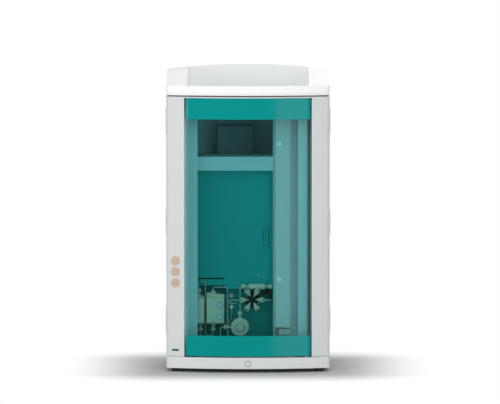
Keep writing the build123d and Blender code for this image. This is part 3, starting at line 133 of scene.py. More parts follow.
class Paint:
    """One material and its nodes."""

    def __init__(self, name):
        self.material = bpy.data.materials.new(name)
        self.material.use_nodes = True
        self.tree = self.material.node_tree
        self.tree.nodes.clear()

    def add(self, kind, settings=None, *values, take=0, **named):
        """Adds a node: its settings first, then the values or links of its sockets."""
        node = self.tree.nodes.new(kind)
        for key, value in (settings or {}).items():
            setattr(node, key, value)
        filled = [(node.inputs[index], value) for index, value in enumerate(values)]
        filled += [(node.inputs[key.replace("_", " ")], value) for key, value in named.items()]
        for socket, value in filled:
            if isinstance(value, Socket):
                self.tree.links.new(value.socket, socket)
            elif value is not None:
                socket.default_value = value
        return Socket(self, node.outputs[take]) if len(node.outputs) else None

    def place(self, stretch=(1.0, 1.0, 1.0)):
        """Object coordinates, stretched where a pattern runs along a piece."""
        raw = self.add("ShaderNodeTexCoord", take=3)
        return self.add("ShaderNodeMapping", {}, raw, (0, 0, 0), (0, 0, 0), stretch)

    def noise(self, scale, detail=2.0, stretch=(1.0, 1.0, 1.0)):
        """Soft noise between 0 and 1."""
        return self.add(
            "ShaderNodeTexNoise", {}, Vector=self.place(stretch), Scale=scale, Detail=detail
        )

    def axis(self, index):
        """One of the object coordinates, in metres."""
        return self.add("ShaderNodeSeparateXYZ", {}, self.place(), take=index)

    def blend(self, share, first, second):
        """A colour between two colours; the Mix node's inputs for numbers and vectors stay unused."""
        ends = [end if isinstance(end, Socket) else (*end, 1.0) for end in (first, second)]
        return self.add("ShaderNodeMix", {"data_type": "RGBA"}, share, *mix_vector_inputs, *ends, take=2)

    def relief(self, height, depth):
        """A Bump node: depth is the relief in metres."""
        return self.add("ShaderNodeBump", {}, Strength=1.0, Distance=depth, Height=height)

    def shine(self, **sockets):
        """The Principled shader."""
        return self.add("ShaderNodeBsdfPrincipled", {}, **sockets)

    def done(self, shader):
        """Feeds the output and gives the material back."""
        self.add("ShaderNodeOutputMaterial", {}, shader)
        return self.material


def tones(colour, spread):
    """A darker and a lighter tone of one colour."""
    darker = tuple(max(0.0, c * (1 - spread)) for c in colour)
    return darker, tuple(min(1.0, c * (1 + spread)) for c in colour)


print("paint box ready")

# %% [markdown]
# ## Moulded plastic
# The housing is injection-moulded. Up close such a surface is not smooth: the mould is spark-eroded, which
# leaves a fine, even grain of about half a millimetre, and the tone drifts a little over a large part.
# An image of grain would need UVs; noise on object coordinates needs none and has no seams.

# %% Moulded plastic
mould_grain, mould_gloss = 0.000008, 0.35


def mould_noises(paint):
    """The slow drift of a moulding's tone and its fine grain."""
    return paint.noise(5.0, 3.0), paint.noise(1700.0, 2.0)


def mould_skin(paint, tone, roughness, fine):
    """The finished material of a moulding, with the grain as relief."""
    shader = paint.shine(
        Base_Color=tone,
        Roughness=roughness + 0.08 * (fine - 0.5),
        Specular_IOR_Level=mould_gloss,
        Normal=paint.relief(fine, mould_grain),
    )
    return paint.done(shader)


def moulded(name, colour, roughness, spread):
    paint = Paint(name)
    drift, fine = mould_noises(paint)
    scuff = paint.noise(60.0, 4.0)
    darker, lighter = tones(colour, spread)
    tone = paint.blend(0.7 * drift + 0.3 * scuff, darker, lighter)
    return mould_skin(paint, tone, roughness + 0.10 * (scuff - 0.5), fine)


# The housing is the same white plastic as the tray; its darker grey is painted shade for its upright faces,
# which get less light than the tray's tops.
shaded_housing_white = moulded("shaded_housing_white", (0.645, 0.665, 0.665), 0.5, 0.025)
cover_white = moulded("cover_white", (0.88, 0.88, 0.885), 0.5, 0.02)
frame_white = moulded("frame_white", (0.70, 0.72, 0.72), 0.55, 0.03)
duct_white = moulded("duct_white", (0.72, 0.645, 0.635), 0.4, 0.03)
button_white = moulded("button_white", (0.95, 0.95, 0.95), 0.35, 0.02)
bay_grey = moulded("bay_grey", (0.70, 0.66, 0.66), 0.55, 0.04)
block_grey = moulded("block_grey", (0.31, 0.29, 0.30), 0.5, 0.06)
dark_grey = moulded("dark_grey", (0.055, 0.058, 0.062), 0.6, 0.12)
rail_teal = moulded("rail_teal", (0.003, 0.29, 0.275), 0.45, 0.04)
print("plastics made")

# %% [markdown]
# ## Three plastics that change over the piece
# The bottle tray is one white moulding. The inside of its recess is painted greyer than the rim, as painted
# shade, and its neck in the narrow gap is painted dark, as painted shadow. The wet panel is teal, with
# painted shade darkening its sunk part, where the pump and the valve stand, and a dark line of painted shade
# along the edge of its oblong pocket. The base has a painted shadow line in the seam under the columns and
# around its drain plug. Masks on object coordinates put these tones in the places where the solids have those
# features.

# %% Bottle tray
recess_half, recess_front, recess_back, recess_floor = 0.1195, -0.152, 0.1725, 0.611
neck_height = 0.0029
neck_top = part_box("roof_plate")[1].z + neck_height


def tray_plastic():
    paint = Paint("tray_white")
    drift, fine = mould_noises(paint)
    dust = paint.noise(38.0, 4.0)
    rim = paint.blend(drift, (0.90, 0.915, 0.92), (0.93, 0.945, 0.95))
    # The recess's grey tone is painted shade inside the recess.
    recess_shade = paint.blend(0.6 * drift + 0.4 * dust, (0.60, 0.62, 0.62), (0.67, 0.69, 0.685))
    beside = 1.0 - (paint.axis(0).size() > recess_half)
    behind = (paint.axis(1) > recess_front) * (1.0 - (paint.axis(1) > recess_back))
    inside = beside * behind * (paint.axis(2) > recess_floor)
    skin = paint.blend(inside, rim, recess_shade)
    # The neck's dark tone is painted shadow in the narrow gap under the tray.
    neck_shade = 1.0 - (paint.axis(2) > neck_top)
    return mould_skin(paint, paint.blend(neck_shade, skin, (0.10, 0.105, 0.105)), 0.45 + 0.08 * (dust - 0.5), fine)


tray_white = tray_plastic()

# %% Wet panel
sunk_from = -0.1135
pocket_x, pocket_z, pocket_straight, pocket_radius = 0.0398, 0.2943, 0.015, 0.006
pocket_shade_width, pocket_shade_overlap = 0.0011, 0.0002


def panel_plastic():
    paint = Paint("panel_teal")
    drift, fine = mould_noises(paint)
    flat = paint.blend(drift, (0.004, 0.35, 0.325), (0.004, 0.39, 0.365))
    # The sunk part's darker teal is painted shade in the recess where the pump and the valve stand.
    sunk = paint.blend(drift, (0.003, 0.27, 0.255), (0.003, 0.31, 0.295))
    across = paint.axis(0) - pocket_x
    along = ((paint.axis(2) - pocket_z).size() - pocket_straight).largest(0.0)
    edge = (across * across + along * along) ** 0.5
    # The dark line along the pocket's edge is painted shade in the crease of the pocket.
    pocket_shade = (edge > pocket_radius - pocket_shade_width) * (1.0 - (edge > pocket_radius + pocket_shade_overlap))
    base = paint.blend(paint.axis(1) > sunk_from, flat, sunk)
    return mould_skin(paint, paint.blend(pocket_shade, base, (0.002, 0.055, 0.052)), 0.5, fine)


panel_teal = panel_plastic()

# %% Base and drain plug
base_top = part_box("base_tray")[1].z
plug_low, plug_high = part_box("drain_plug")
plug_middle = (plug_low + plug_high) / 2
plug_radius = (plug_high.x - plug_low.x) / 2
seam_width, ring_width = 0.0011, 0.0007


def base_plastic():
    paint = Paint("base_grey")
    drift, fine = mould_noises(paint)
    skin = paint.blend(drift, (0.665, 0.685, 0.68), (0.705, 0.725, 0.72))
    across = paint.axis(0) - plug_middle.x
    up = paint.axis(2) - plug_middle.z
    from_plug = (across * across + up * up) ** 0.5
    outside = from_plug > plug_radius - ring_width
    inside = 1.0 - (from_plug > plug_radius + ring_width)
    in_front = 1.0 - (paint.axis(1) > plug_high.y)
    seam = paint.axis(2) > base_top - seam_width
    # The seam under the columns and the ring round the drain plug are painted dark, as painted shadow in
    # these gaps.
    seam_and_plug_shade = (outside * inside * in_front).largest(seam)
    return mould_skin(paint, paint.blend(seam_and_plug_shade, skin, (0.30, 0.31, 0.31)), 0.5, fine)


base_grey = base_plastic()
print("tray, panel and base made")

# %% [markdown]
# ## Natural polymer of the wet parts
# Pump heads, nuts and the damper are turned and milled from a tan engineering polymer. It is slightly
# mottled, and the cutter leaves fine parallel marks. The marks are a stretched noise, which looks like
# machining from every side, where one sine along an axis would only be right on faces across it.

# %% Machined polymer, capillary tube and small metals
def machined(name, colour, roughness, spread, stretch, metallic=0.0, depth=0.00002):
    paint = Paint(name)
    mottle = paint.noise(180.0, 4.0)
    marks = paint.noise(900.0, 2.0, stretch)
    darker, lighter = tones(colour, spread)
    shader = paint.shine(
        Base_Color=paint.blend(0.6 * mottle + 0.4 * marks, darker, lighter),
        Metallic=metallic,
        Roughness=roughness + 0.16 * (marks - 0.5),
        Specular_IOR_Level=0.5,
        Normal=paint.relief(marks, depth),
    )
    return paint.done(shader)


wet_tan = machined("wet_tan", (0.93, 0.64, 0.50), 0.42, 0.07, (1.0, 0.15, 1.0))
plug_tan = machined("plug_tan", (0.54, 0.42, 0.315), 0.5, 0.05, (1.0, 1.0, 0.3))
tube_tan = machined("tube_tan", (0.86, 0.72, 0.60), 0.3, 0.05, (1.0, 1.0, 0.1))
rail_beige = machined("rail_beige", (0.68, 0.62, 0.55), 0.55, 0.05, (1.0, 1.0, 0.02))
steel = machined("steel", (0.82, 0.83, 0.84), 0.32, 0.06, (1.0, 0.1, 1.0), 1.0)
thumb_steel = machined("thumb_steel", (0.86, 0.88, 0.90), 0.45, 0.04, (1.0, 0.1, 1.0), 0.35)
stator_black = machined("stator_black", (0.022, 0.023, 0.025), 0.35, 0.2, (1.0, 0.2, 1.0))
drive_metal = machined("drive_metal", (0.55, 0.56, 0.57), 0.45, 0.08, (1.0, 1.0, 1.0), 1.0, 0.00005)
knob_white = machined("knob_white", (0.84, 0.86, 0.86), 0.25, 0.03, (1.0, 0.2, 1.0))
nozzle_white = machined("nozzle_white", (0.74, 0.75, 0.74), 0.4, 0.04, (1.0, 0.2, 1.0))
rocker_black = machined("rocker_black", (0.018, 0.018, 0.019), 0.2, 0.2, (1.0, 1.0, 1.0))
print("machined finishes made")

# %% [markdown]
# ## Rubber, powder coat, circuit board and lens
# Four finishes that need a pattern of their own. Powder coat is a fine orange peel, so its bump is rounder
# and larger than moulding grain. The board is green lacquer over copper tracks. The lens is smoked plastic
# with small teal dots behind it, which are not lit.

# %% Rubber
def rubber_finish():
    paint = Paint("foot_rubber")
    dust = paint.noise(90.0, 4.0)
    fine = paint.noise(1200.0, 2.0)
    shader = paint.shine(
        Base_Color=paint.blend(dust, (0.010, 0.010, 0.011), (0.035, 0.034, 0.033)),
        Roughness=0.75 + 0.2 * (dust - 0.5),
        Normal=paint.relief(fine, 0.00004),
    )
    return paint.done(shader)


# %% Powder coat
def powder_coat():
    paint = Paint("rear_powder_coat")
    peel = paint.noise(650.0, 1.0)
    drift = paint.noise(7.0, 3.0)
    darker, lighter = tones((0.66, 0.68, 0.68), 0.03)
    shader = paint.shine(
        Base_Color=paint.blend(drift, darker, lighter),
        Roughness=0.5 + 0.15 * (peel - 0.5),
        Normal=paint.relief(peel, 0.00012),
    )
    return paint.done(shader)


# %% Circuit board
def board_lacquer():
    paint = Paint("board_lacquer")
    cells = paint.add(
        "ShaderNodeTexVoronoi",
        {"feature": "DISTANCE_TO_EDGE"},
        Vector=paint.place(),
        Scale=140.0,
    )
    copper = 1.0 - (cells > 0.06)
    mottle = paint.noise(200.0, 2.0)
    lacquer = paint.blend(mottle, (0.012, 0.11, 0.045), (0.02, 0.16, 0.065))
    shader = paint.shine(
        Base_Color=paint.blend(0.55 * copper, lacquer, (0.10, 0.33, 0.10)),
        Roughness=0.3 + 0.2 * mottle,
        Normal=paint.relief(copper, 0.00004),
    )
    return paint.done(shader)


# %% Status lens
dot_pitch_across, dot_pitch_up, dot_threshold = 0.003, 0.0021, 0.35


def smoked_lens():
    paint = Paint("status_lens")
    column = (paint.axis(0) * (2 * math.pi / dot_pitch_across)).wave()
    row = (paint.axis(2) * (2 * math.pi / dot_pitch_up)).wave()
    dots = (column * row) > dot_threshold
    shader = paint.shine(
        Base_Color=paint.blend(0.8 * dots, (0.008, 0.012, 0.013), (0.02, 0.30, 0.28)),
        Roughness=0.15 + 0.1 * paint.noise(300.0),
    )
    return paint.done(shader)


foot_rubber = rubber_finish()
rear_coat = powder_coat()
board_green = board_lacquer()
status_lens = smoked_lens()
print("special finishes made")

# %% [markdown]
# ## The door's two finishes
# The door is one bowed sheet of teal acrylic, printed opaque along its top and bottom. Real glass shaders
# bend light and would leave the inside dark, because lamps do not shine through them. A tinted Transparent
# shader under a thin gloss lets the lamps in and colours them, once on the way in and once on the way out.
# The gloss grows towards the edges as on any clear sheet; a share of the facing angle to the fifth power
# does that without the mirror-like inner reflections of a Fresnel node.

# %% Clear and printed acrylic
sheet_tint = (0.60, 0.84, 0.85, 1.0)
gloss_head_on = 0.016


def clear_acrylic():
    paint = Paint("clear_acrylic")
    smear = paint.noise(14.0, 5.0)
    through = paint.add("ShaderNodeBsdfTransparent", {}, sheet_tint)
    gloss = paint.add("ShaderNodeBsdfAnisotropic", {}, Roughness=0.03 + 0.05 * smear)
    facing = paint.add("ShaderNodeLayerWeight", {}, 0.5, take=1)
    share = gloss_head_on + (1.0 - gloss_head_on) * facing**5.0
    return paint.done(paint.add("ShaderNodeMixShader", {}, share, through, gloss))


def printed_acrylic():
    paint = Paint("printed_acrylic")
    drift = paint.noise(9.0, 3.0)
    smear = paint.noise(14.0, 5.0)
    darker, lighter = tones((0.001, 0.272, 0.262), 0.03)
    shader = paint.shine(
        Base_Color=paint.blend(drift, darker, lighter),
        Roughness=0.10 + 0.08 * smear,
        Specular_IOR_Level=0.16,
        Normal=paint.relief(drift, 0.00002),
    )
    return paint.done(shader)


clear_sheet = clear_acrylic()
printed_sheet = printed_acrylic()
print("door finishes made")

# %% [markdown]
# ## Dress the CAD solids
# Every solid of the frame gets a finish in its material slot. All keep their exact shape, apart from four
# nodes, the door's sheet and the screws, which pieces further down stand in for. A table from finish to
# solids is easier to check than sixty assignments.

# %% Assign the finishes
dressing = {
    tray_white: ["bottle_tray"],
    shaded_housing_white: [
        "left_front_column", "right_front_column", "left_side_panel", "right_side_panel", "roof_plate",
    ],
    cover_white: ["left_side_covers", "right_side_covers"],
    base_grey: ["base_tray", "drain_plug"],
    frame_white: ["inner_frame"],
    duct_white: ["capillary_duct", "leak_sensor_plug"],
    button_white: ["duct_buttons"],
    bay_grey: ["detector_bay"],
    block_grey: ["detector_block"],
    rail_beige: ["duct_rail"],
    dark_grey: [
        "filter_bracket", "magnet_catches", "fan_housing", "fan_rotor", "power_inlet", "switch_frame",
        "valve_actuator", "rear_sockets",
    ],
    panel_teal: ["wet_panel"],
    rail_teal: ["door_rails"],
    clear_sheet: ["door_pane"],
    wet_tan: [
        "pump_head_main", "pump_head_aux", "pump_valve_holders", "finger_nuts", "damper", "valve_nuts",
        "filter_body", "bulkhead_fittings",
    ],
    plug_tan: ["column_plugs"],
    tube_tan: [
        "link_capillary", "outlet_capillary", "damper_capillary", "loop_capillary", "short_capillaries",
    ],
    steel: [
        "hinge_pins", "magnet_strikers", "valve_screws", "panel_screw", "rear_panel_screws", "fan_guard",
    ],
    thumb_steel: ["pump_thumb_screws"],
    stator_black: ["valve_stator"],
    drive_metal: ["pump_drive_unit", "power_supply"],
    knob_white: ["purge_knob"],
    nozzle_white: ["drain_nozzle"],
    rocker_black: ["switch_rocker"],
    foot_rubber: ["rubber_feet"],
    rear_coat: ["rear_panel"],
    board_green: ["control_board"],
    status_lens: ["status_window"],
}
for finish, names in dressing.items():
    for name in names:
        for slot in nodes[name].material_slots:
            slot.material = finish
dressed = {name for names in dressing.values() for name in names}
print("dressed", len(dressed), "of", len(nodes), "missing", sorted(set(nodes) - dressed))

# %% [markdown]
# ## The door's sheet
# The CAD sheet has one finish for all its faces, and the real one is printed along two bands. The sheet is
# rebuilt as rings of points, one ring for each level: the ends get a small ring for the broken edge, and
# the two band levels get a ring each, so that the print can start exactly there.

# %% Build the bowed sheet
def new_piece(name, points, faces, materials, shades=(), smooth=40.0):
    """A finished mesh at the origin, in metres, from points in millimetres."""
    mesh = bpy.data.meshes.new(name)
    mesh.from_pydata([tuple(v * MM for v in point) for point in points], [], faces)
    for material in materials:
        mesh.materials.append(material)
    for polygon, index in zip(mesh.polygons, shades):
        polygon.material_index = index
    mesh.validate()
    mesh.shade_smooth()
    mesh.set_sharp_from_angle(angle=math.radians(smooth))
    piece = bpy.data.objects.new(name, mesh)
    bpy.context.scene.collection.objects.link(piece)
    return piece


door_low, door_high = [[v / MM for v in corner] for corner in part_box("door_pane")]
bow_half, bow_bulge, bow_front = 179.5, 38.0, -190.0
bow_radius = (bow_half**2 + bow_bulge**2) / (2 * bow_bulge)
bow_centre = bow_front + bow_radius
sheet_thickness, sheet_edge, broken_edge = 4.0, 1.0, 0.4
band_low = door_low[2] + 45.0
band_high = door_high[2] - 46.0
columns = 72


def sheet_ring(level, inset):
    """The sheet's outline at one level: along the outer face and back along the inner one."""
    half = door_high[0] - inset
    xs = [-half + 2 * half * i / columns for i in range(columns + 1)]
    soft = sheet_edge - inset
    ring = []
    for shift, order in ((inset, xs), (sheet_thickness - inset, xs[::-1])):
        for x in order:
            away = max(0.0, abs(x) - (half - soft))
            round_off = soft - math.sqrt(max(0.0, soft**2 - away**2))
            inner = shift > sheet_thickness / 2
            depth = shift + (-round_off if inner else round_off)
            ring.append((x, bow_centre - math.sqrt((bow_radius - depth) ** 2 - x**2), level))
    return ring


levels = [
    (door_low[2], broken_edge), (door_low[2] + broken_edge, 0.0), (band_low, 0.0), (band_high, 0.0),
    (door_high[2] - broken_edge, 0.0), (door_high[2], broken_edge),
]
clear_row = 2
sheet_points = [point for level, inset in levels for point in sheet_ring(level, inset)]
ring_size = 2 * (columns + 1)
sheet_faces, sheet_shades = [], []
for row in range(len(levels) - 1):
    for i in range(ring_size):
        j = (i + 1) % ring_size
        a, b = row * ring_size, (row + 1) * ring_size
        sheet_faces.append((a + i, a + j, b + j, b + i))
        sheet_shades.append(0 if row == clear_row else 1)
for start, flip in ((0, True), ((len(levels) - 1) * ring_size, False)):
    for i in range(columns):
        quad = (start + i, start + i + 1, start + ring_size - 2 - i, start + ring_size - 1 - i)
        sheet_faces.append(quad[::-1] if flip else quad)
        sheet_shades.append(1)
sheet_finishes = [clear_sheet, printed_sheet]
door_sheet = new_piece("door_sheet", sheet_points, sheet_faces, sheet_finishes, sheet_shades)
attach(door_sheet, "door")
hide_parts("door_pane")
print("door sheet:", len(sheet_faces), "faces, clear between", round(band_low, 1), "and", round(band_high, 1))

# %% [markdown]
# ## Measuring the frame's turned solids
# Ribs and screw recesses have to sit exactly on the solids of the frame. Instead of repeating the CAD
# numbers, the script reads them off the meshes. A node's mesh falls apart into its separate solids, and a
# turned solid's axis is the direction in which its points spread unlike the other two.

# %% Separate solids of a node
def solids_of(name):
    """The separate solids of one node, each as an array of points in millimetres."""
    mesh = nodes[name].data
    points = numpy.round(numpy.array([vertex.co[:] for vertex in mesh.vertices]) / MM, 3)
    first = {}
    lead = [first.setdefault(tuple(point), index) for index, point in enumerate(points)]
    parent = list(range(len(lead)))

    def root(index):
        while parent[index] != index:
            parent[index] = parent[parent[index]]
            index = parent[index]
        return index

    for polygon in mesh.polygons:
        for vertex in polygon.vertices[1:]:
            parent[root(lead[vertex])] = root(lead[polygon.vertices[0]])
    groups = {}
    for index in sorted(set(lead)):
        groups.setdefault(root(index), []).append(points[index])
    solids = [numpy.array(group) for group in groups.values()]
    return sorted(solids, key=lambda solid: tuple(solid.mean(axis=0)))


# %% Head of a turned solid
widest_within = 0.15


def head_of(points):
    """The widest stretch of a turned solid: its middle, its direction, its radius and its length."""
    middle = points.mean(axis=0)
    spread, ways = numpy.linalg.eigh(numpy.cov((points - middle).T))
    way = ways[:, int(numpy.argmax(numpy.abs(spread - numpy.median(spread))))]
    along = (points - middle) @ way
    away = numpy.linalg.norm(points - middle - numpy.outer(along, way), axis=1)
    wide = along[away > away.max() - widest_within]
    if wide.mean() < along.mean():
        way, along, wide = -way, -along, -wide
    return middle + way * (wide.min() + wide.max()) / 2, way, away.max(), wide.max() - wide.min()


for name in ("finger_nuts", "valve_nuts"):
    for middle, _, radius, length in map(head_of, solids_of(name)):
        place = [round(float(v), 1) for v in middle]
        print(name, place, "radius", round(radius, 2), "length", round(length, 2))

# %% [markdown]
# ## Ribs on the nuts
# Finger-tight nuts are gripped by hand, so their heads are ribbed lengthwise. Each rib is a slim round bar
# half sunk in the head. A Geometry Nodes tree sets a ring of bars, and then one ring on each nut: the base
# mesh has one point for each nut, with the nut's direction as an attribute. Modelling the ribs one by one
# would be the same shape with a hundred times the work. How a tree starts and ends is the same for all the
# small pieces that follow, so two functions hold it.

# %% A tree of ribs
def grow(tree, kind, settings=None, **inputs):
    """Adds a geometry node: its settings, then the values or links of its inputs."""
    node = tree.nodes.new(kind)
    for key, value in (settings or {}).items():
        setattr(node, key, value)
    for key, value in inputs.items():
        socket = node.inputs[key.replace("_", " ")]
        if isinstance(value, bpy.types.NodeSocket):
            tree.links.new(value, socket)
        else:
            socket.default_value = value
    return node.outputs[0] if len(node.outputs) else node


def new_tree(name, inputs):
    """A tree that takes places, the given inputs and a material; with the sockets that it is given."""
    tree = bpy.data.node_groups.new(name, "GeometryNodeTree")
    face = tree.interface
    face.new_socket("Geometry", in_out="OUTPUT", socket_type="NodeSocketGeometry")
    for label, kind in [("Geometry", "Geometry"), *inputs, ("Material", "Material")]:
        face.new_socket(label, in_out="INPUT", socket_type="NodeSocket" + kind)
    return tree, tree.nodes.new("NodeGroupInput").outputs


def set_on_places(tree, given, piece):
    """Ends a tree: sets the piece on each place, turned to its direction, with the material."""
    way = grow(tree, "GeometryNodeInputNamedAttribute", {"data_type": "FLOAT_VECTOR"}, Name="way")
    turn = grow(tree, "FunctionNodeAlignRotationToVector", {"axis": "Z"}, Vector=way)
    places = given["Geometry"]
    pieces = grow(tree, "GeometryNodeInstanceOnPoints", Points=places, Instance=piece, Rotation=turn)
    solid = grow(tree, "GeometryNodeRealizeInstances", Geometry=pieces)
    painted = grow(tree, "GeometryNodeSetMaterial", Geometry=solid, Material=given["Material"])
    grow(tree, "NodeGroupOutput", Geometry=painted)
    return tree


def rib_tree():
    sizes = [("Ribs", "Int"), ("Ring Radius", "Float"), ("Rib Radius", "Float"), ("Rib Length", "Float")]
    tree, given = new_tree("rib_rings", sizes)
    ring = grow(tree, "GeometryNodeMeshCircle", Vertices=given["Ribs"], Radius=given["Ring Radius"])
    bar = grow(
        tree, "GeometryNodeMeshCylinder", Vertices=12, Radius=given["Rib Radius"], Depth=given["Rib Length"]
    )
    return set_on_places(tree, given, grow(tree, "GeometryNodeInstanceOnPoints", Points=ring, Instance=bar))


def grown(name, tree, places, ways, values, body):
    """Runs a tree on one point per place and keeps the result as a plain mesh."""
    seeds = bpy.data.meshes.new(name + "_seeds")
    seeds.from_pydata([tuple(float(v) * MM for v in place) for place in places], [], [])
    for record, way in zip(seeds.attributes.new("way", "FLOAT_VECTOR", "POINT").data, ways):
        record.vector = [float(v) for v in way]
    seed = bpy.data.objects.new(name + "_seed", seeds)
    bpy.context.scene.collection.objects.link(seed)
    modifier = seed.modifiers.new("grow", "NODES")
    modifier.node_group = tree
    sockets = {item.name: item.identifier for item in tree.interface.items_tree if item.in_out == "INPUT"}
    for key, value in values.items():
        modifier[sockets[key]] = value
    ready = seed.evaluated_get(bpy.context.evaluated_depsgraph_get())
    mesh = bpy.data.meshes.new_from_object(ready)
    mesh.name = name
    seed.modifiers.remove(modifier)
    bpy.data.objects.remove(seed)
    mesh.shade_smooth()
    mesh.set_sharp_from_angle(angle=math.radians(40.0))
    piece = bpy.data.objects.new(name, mesh)
    bpy.context.scene.collection.objects.link(piece)
    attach(piece, body)
    return piece


rib_rings = rib_tree()
print("tree ready:", [item.name for item in rib_rings.interface.items_tree])

# %% Rib the nuts
rib_sizes = {"finger_nuts": (22, 0.42, 0.12), "valve_nuts": (20, 0.48, 0.14)}
rib_short_of_head = 0.5
for name, (ribs, rib_radius, sunk) in rib_sizes.items():
    heads = [head_of(points) for points in solids_of(name)]
    settings = {
        "Ribs": ribs,
        "Ring Radius": (heads[0][2] - sunk) * MM,
        "Rib Radius": rib_radius * MM,
        "Rib Length": (heads[0][3] - rib_short_of_head) * MM,
        "Material": wet_tan,
    }
    middles, ways = [head[0] for head in heads], [head[1] for head in heads]
    piece = grown(name + "_ribs", rib_rings, middles, ways, settings, "cabinet")
    print(piece.name, len(piece.data.polygons), "faces")

# %% [markdown]
# ## Dark rings at the nut bores and seals
# Each valve nut is open at its outer end, and a dark ring round the bore is painted shade of the hollow bore.
# Each of the pump's two knurled screws lies on a dark seal. Both are rings of round section: a circle swept
# along a circle, once for each place, again by a tree that reads the direction there.

# %% A tree of rings
def ring_tree():
    tree, given = new_tree("torus_rings", [("Ring Radius", "Float"), ("Section Radius", "Float")])
    path = grow(tree, "GeometryNodeCurvePrimitiveCircle", Resolution=40, Radius=given["Ring Radius"])
    section = grow(tree, "GeometryNodeCurvePrimitiveCircle", Resolution=12, Radius=given["Section Radius"])
    ring = grow(tree, "GeometryNodeCurveToMesh", Curve=path, Profile_Curve=section)
    return set_on_places(tree, given, ring)


# The dark ring at each nut's face is painted shade of the bore.
bore_shade_radius, bore_shade_section, bore_shade_sunk = 1.95, 0.5, 0.15
faces_of_nuts, ways_of_nuts = [], []
for points in solids_of("valve_nuts"):
    middle, way = head_of(points)[:2]
    faces_of_nuts.append(middle + way * (((points - middle) @ way).max() - bore_shade_sunk))
    ways_of_nuts.append(way)
settings = {
    "Ring Radius": bore_shade_radius * MM,
    "Section Radius": bore_shade_section * MM,
    "Material": stator_black,
}
round_rings = ring_tree()
bore_shade_rings = grown(
    "valve_bore_shade_rings", round_rings, faces_of_nuts, ways_of_nuts, settings, "cabinet"
)
print(bore_shade_rings.name, len(bore_shade_rings.data.polygons), "faces")

# %% Seals under the knurled screws
seal_stand, seal_section = 0.35, 0.5
seats = []
for points in solids_of("pump_thumb_screws"):
    low, high = points.min(axis=0), points.max(axis=0)
    seats.append(((low[0] + high[0]) / 2, high[1] - seal_section, (low[2] + high[2]) / 2))
    screw_radius = (high[0] - low[0]) / 2
settings = {
    "Ring Radius": (screw_radius + seal_stand) * MM,
    "Section Radius": seal_section * MM,
    "Material": foot_rubber,
}
seals = grown(
    "screw_seals", round_rings, seats, [(0, -1, 0)] * len(seats), settings, "cabinet"
)
print(seals.name, [round(float(v), 1) for v in seats[0]], "radius", round(float(screw_radius), 2))

# %% [markdown]
# ## Contacts of the rear sockets
# A data socket shows two rows of small gold contacts on its dark nose. The contacts are one more tree: a
# grid of points with a short round pin on each, turned to point out of the back. The rows stop short of the
# nose's edge, whatever its width.

# %% A tree of contacts
def contact_tree():
    counts = [("Columns", "Int"), ("Rows", "Int")]
    sizes = [("Width", "Float"), ("Height", "Float"), ("Pin Radius", "Float"), ("Pin Length", "Float")]
    tree, given = new_tree("contact_rows", counts + sizes)
    grid = grow(
        tree, "GeometryNodeMeshGrid", Vertices_X=given["Columns"], Vertices_Y=given["Rows"],
        Size_X=given["Width"], Size_Y=given["Height"],
    )
    pin = grow(
        tree, "GeometryNodeMeshCylinder", Vertices=12, Radius=given["Pin Radius"], Depth=given["Pin Length"]
    )
    return set_on_places(tree, given, grow(tree, "GeometryNodeInstanceOnPoints", Points=grid, Instance=pin))


contact_rows = contact_tree()
gold = machined("gold", (0.83, 0.62, 0.28), 0.25, 0.05, (1.0, 0.1, 1.0), 1.0)
print("tree ready:", [item.name for item in contact_rows.interface.items_tree])

# %% Contacts on each socket
pin_pitch, pin_reach, pin_radius = 2.4, 0.25, 0.42
nose_within, nose_margin, rows_share = 0.05, 4.0, 0.36
for index, solid in enumerate(solids_of("rear_sockets")):
    nose = solid[solid[:, 1] > solid[:, 1].max() - nose_within]
    low, high = nose.min(axis=0), nose.max(axis=0)
    width, height = high[0] - low[0] - nose_margin, (high[2] - low[2]) * rows_share
    settings = {
        "Columns": int(width / pin_pitch) + 1,
        "Rows": 2,
        "Width": width * MM,
        "Height": height * MM,
        "Pin Radius": pin_radius * MM,
        "Pin Length": 2 * pin_reach * MM,
        "Material": gold,
    }
    name, middle = "socket_contacts_" + str(index + 1), [(low + high) / 2]
    piece = grown(name, contact_rows, middle, [(0, 1, 0)], settings, "cabinet")
    print(piece.name, "columns", settings["Columns"], "box", [round(v / MM, 2) for v in piece.dimensions])

# %% [markdown]
# ## Screw heads
# The screws in the CAD frame are plain discs at the right size and place. Real ones show a drive recess:
# a cross in the sheet-metal screws of the rear panel, a hexagon in the cap screws of the valve and the
# panel. Each head is rebuilt from rings of points, and the recess is a ring whose radius follows a formula
# of the angle. A boolean cut would do the same but leaves thin faces.

# %% Recess outlines
def cross_outline(angle, radius):
    """A cross with four equal arms."""
    folded = (angle + math.pi / 4) % (math.pi / 2) - math.pi / 4
    arm_reach, arm_half = 0.62 * radius, 0.15 * radius
    return min(arm_reach / math.cos(folded), arm_half / max(abs(math.sin(folded)), 0.001))


def hex_outline(angle, radius):
    """A hexagon."""
    folded = (angle + math.pi / 6) % (math.pi / 3) - math.pi / 6
    return 0.5 * radius / math.cos(folded)


# %% Heads with a recess
head_steps, dome_break = 48, 0.3


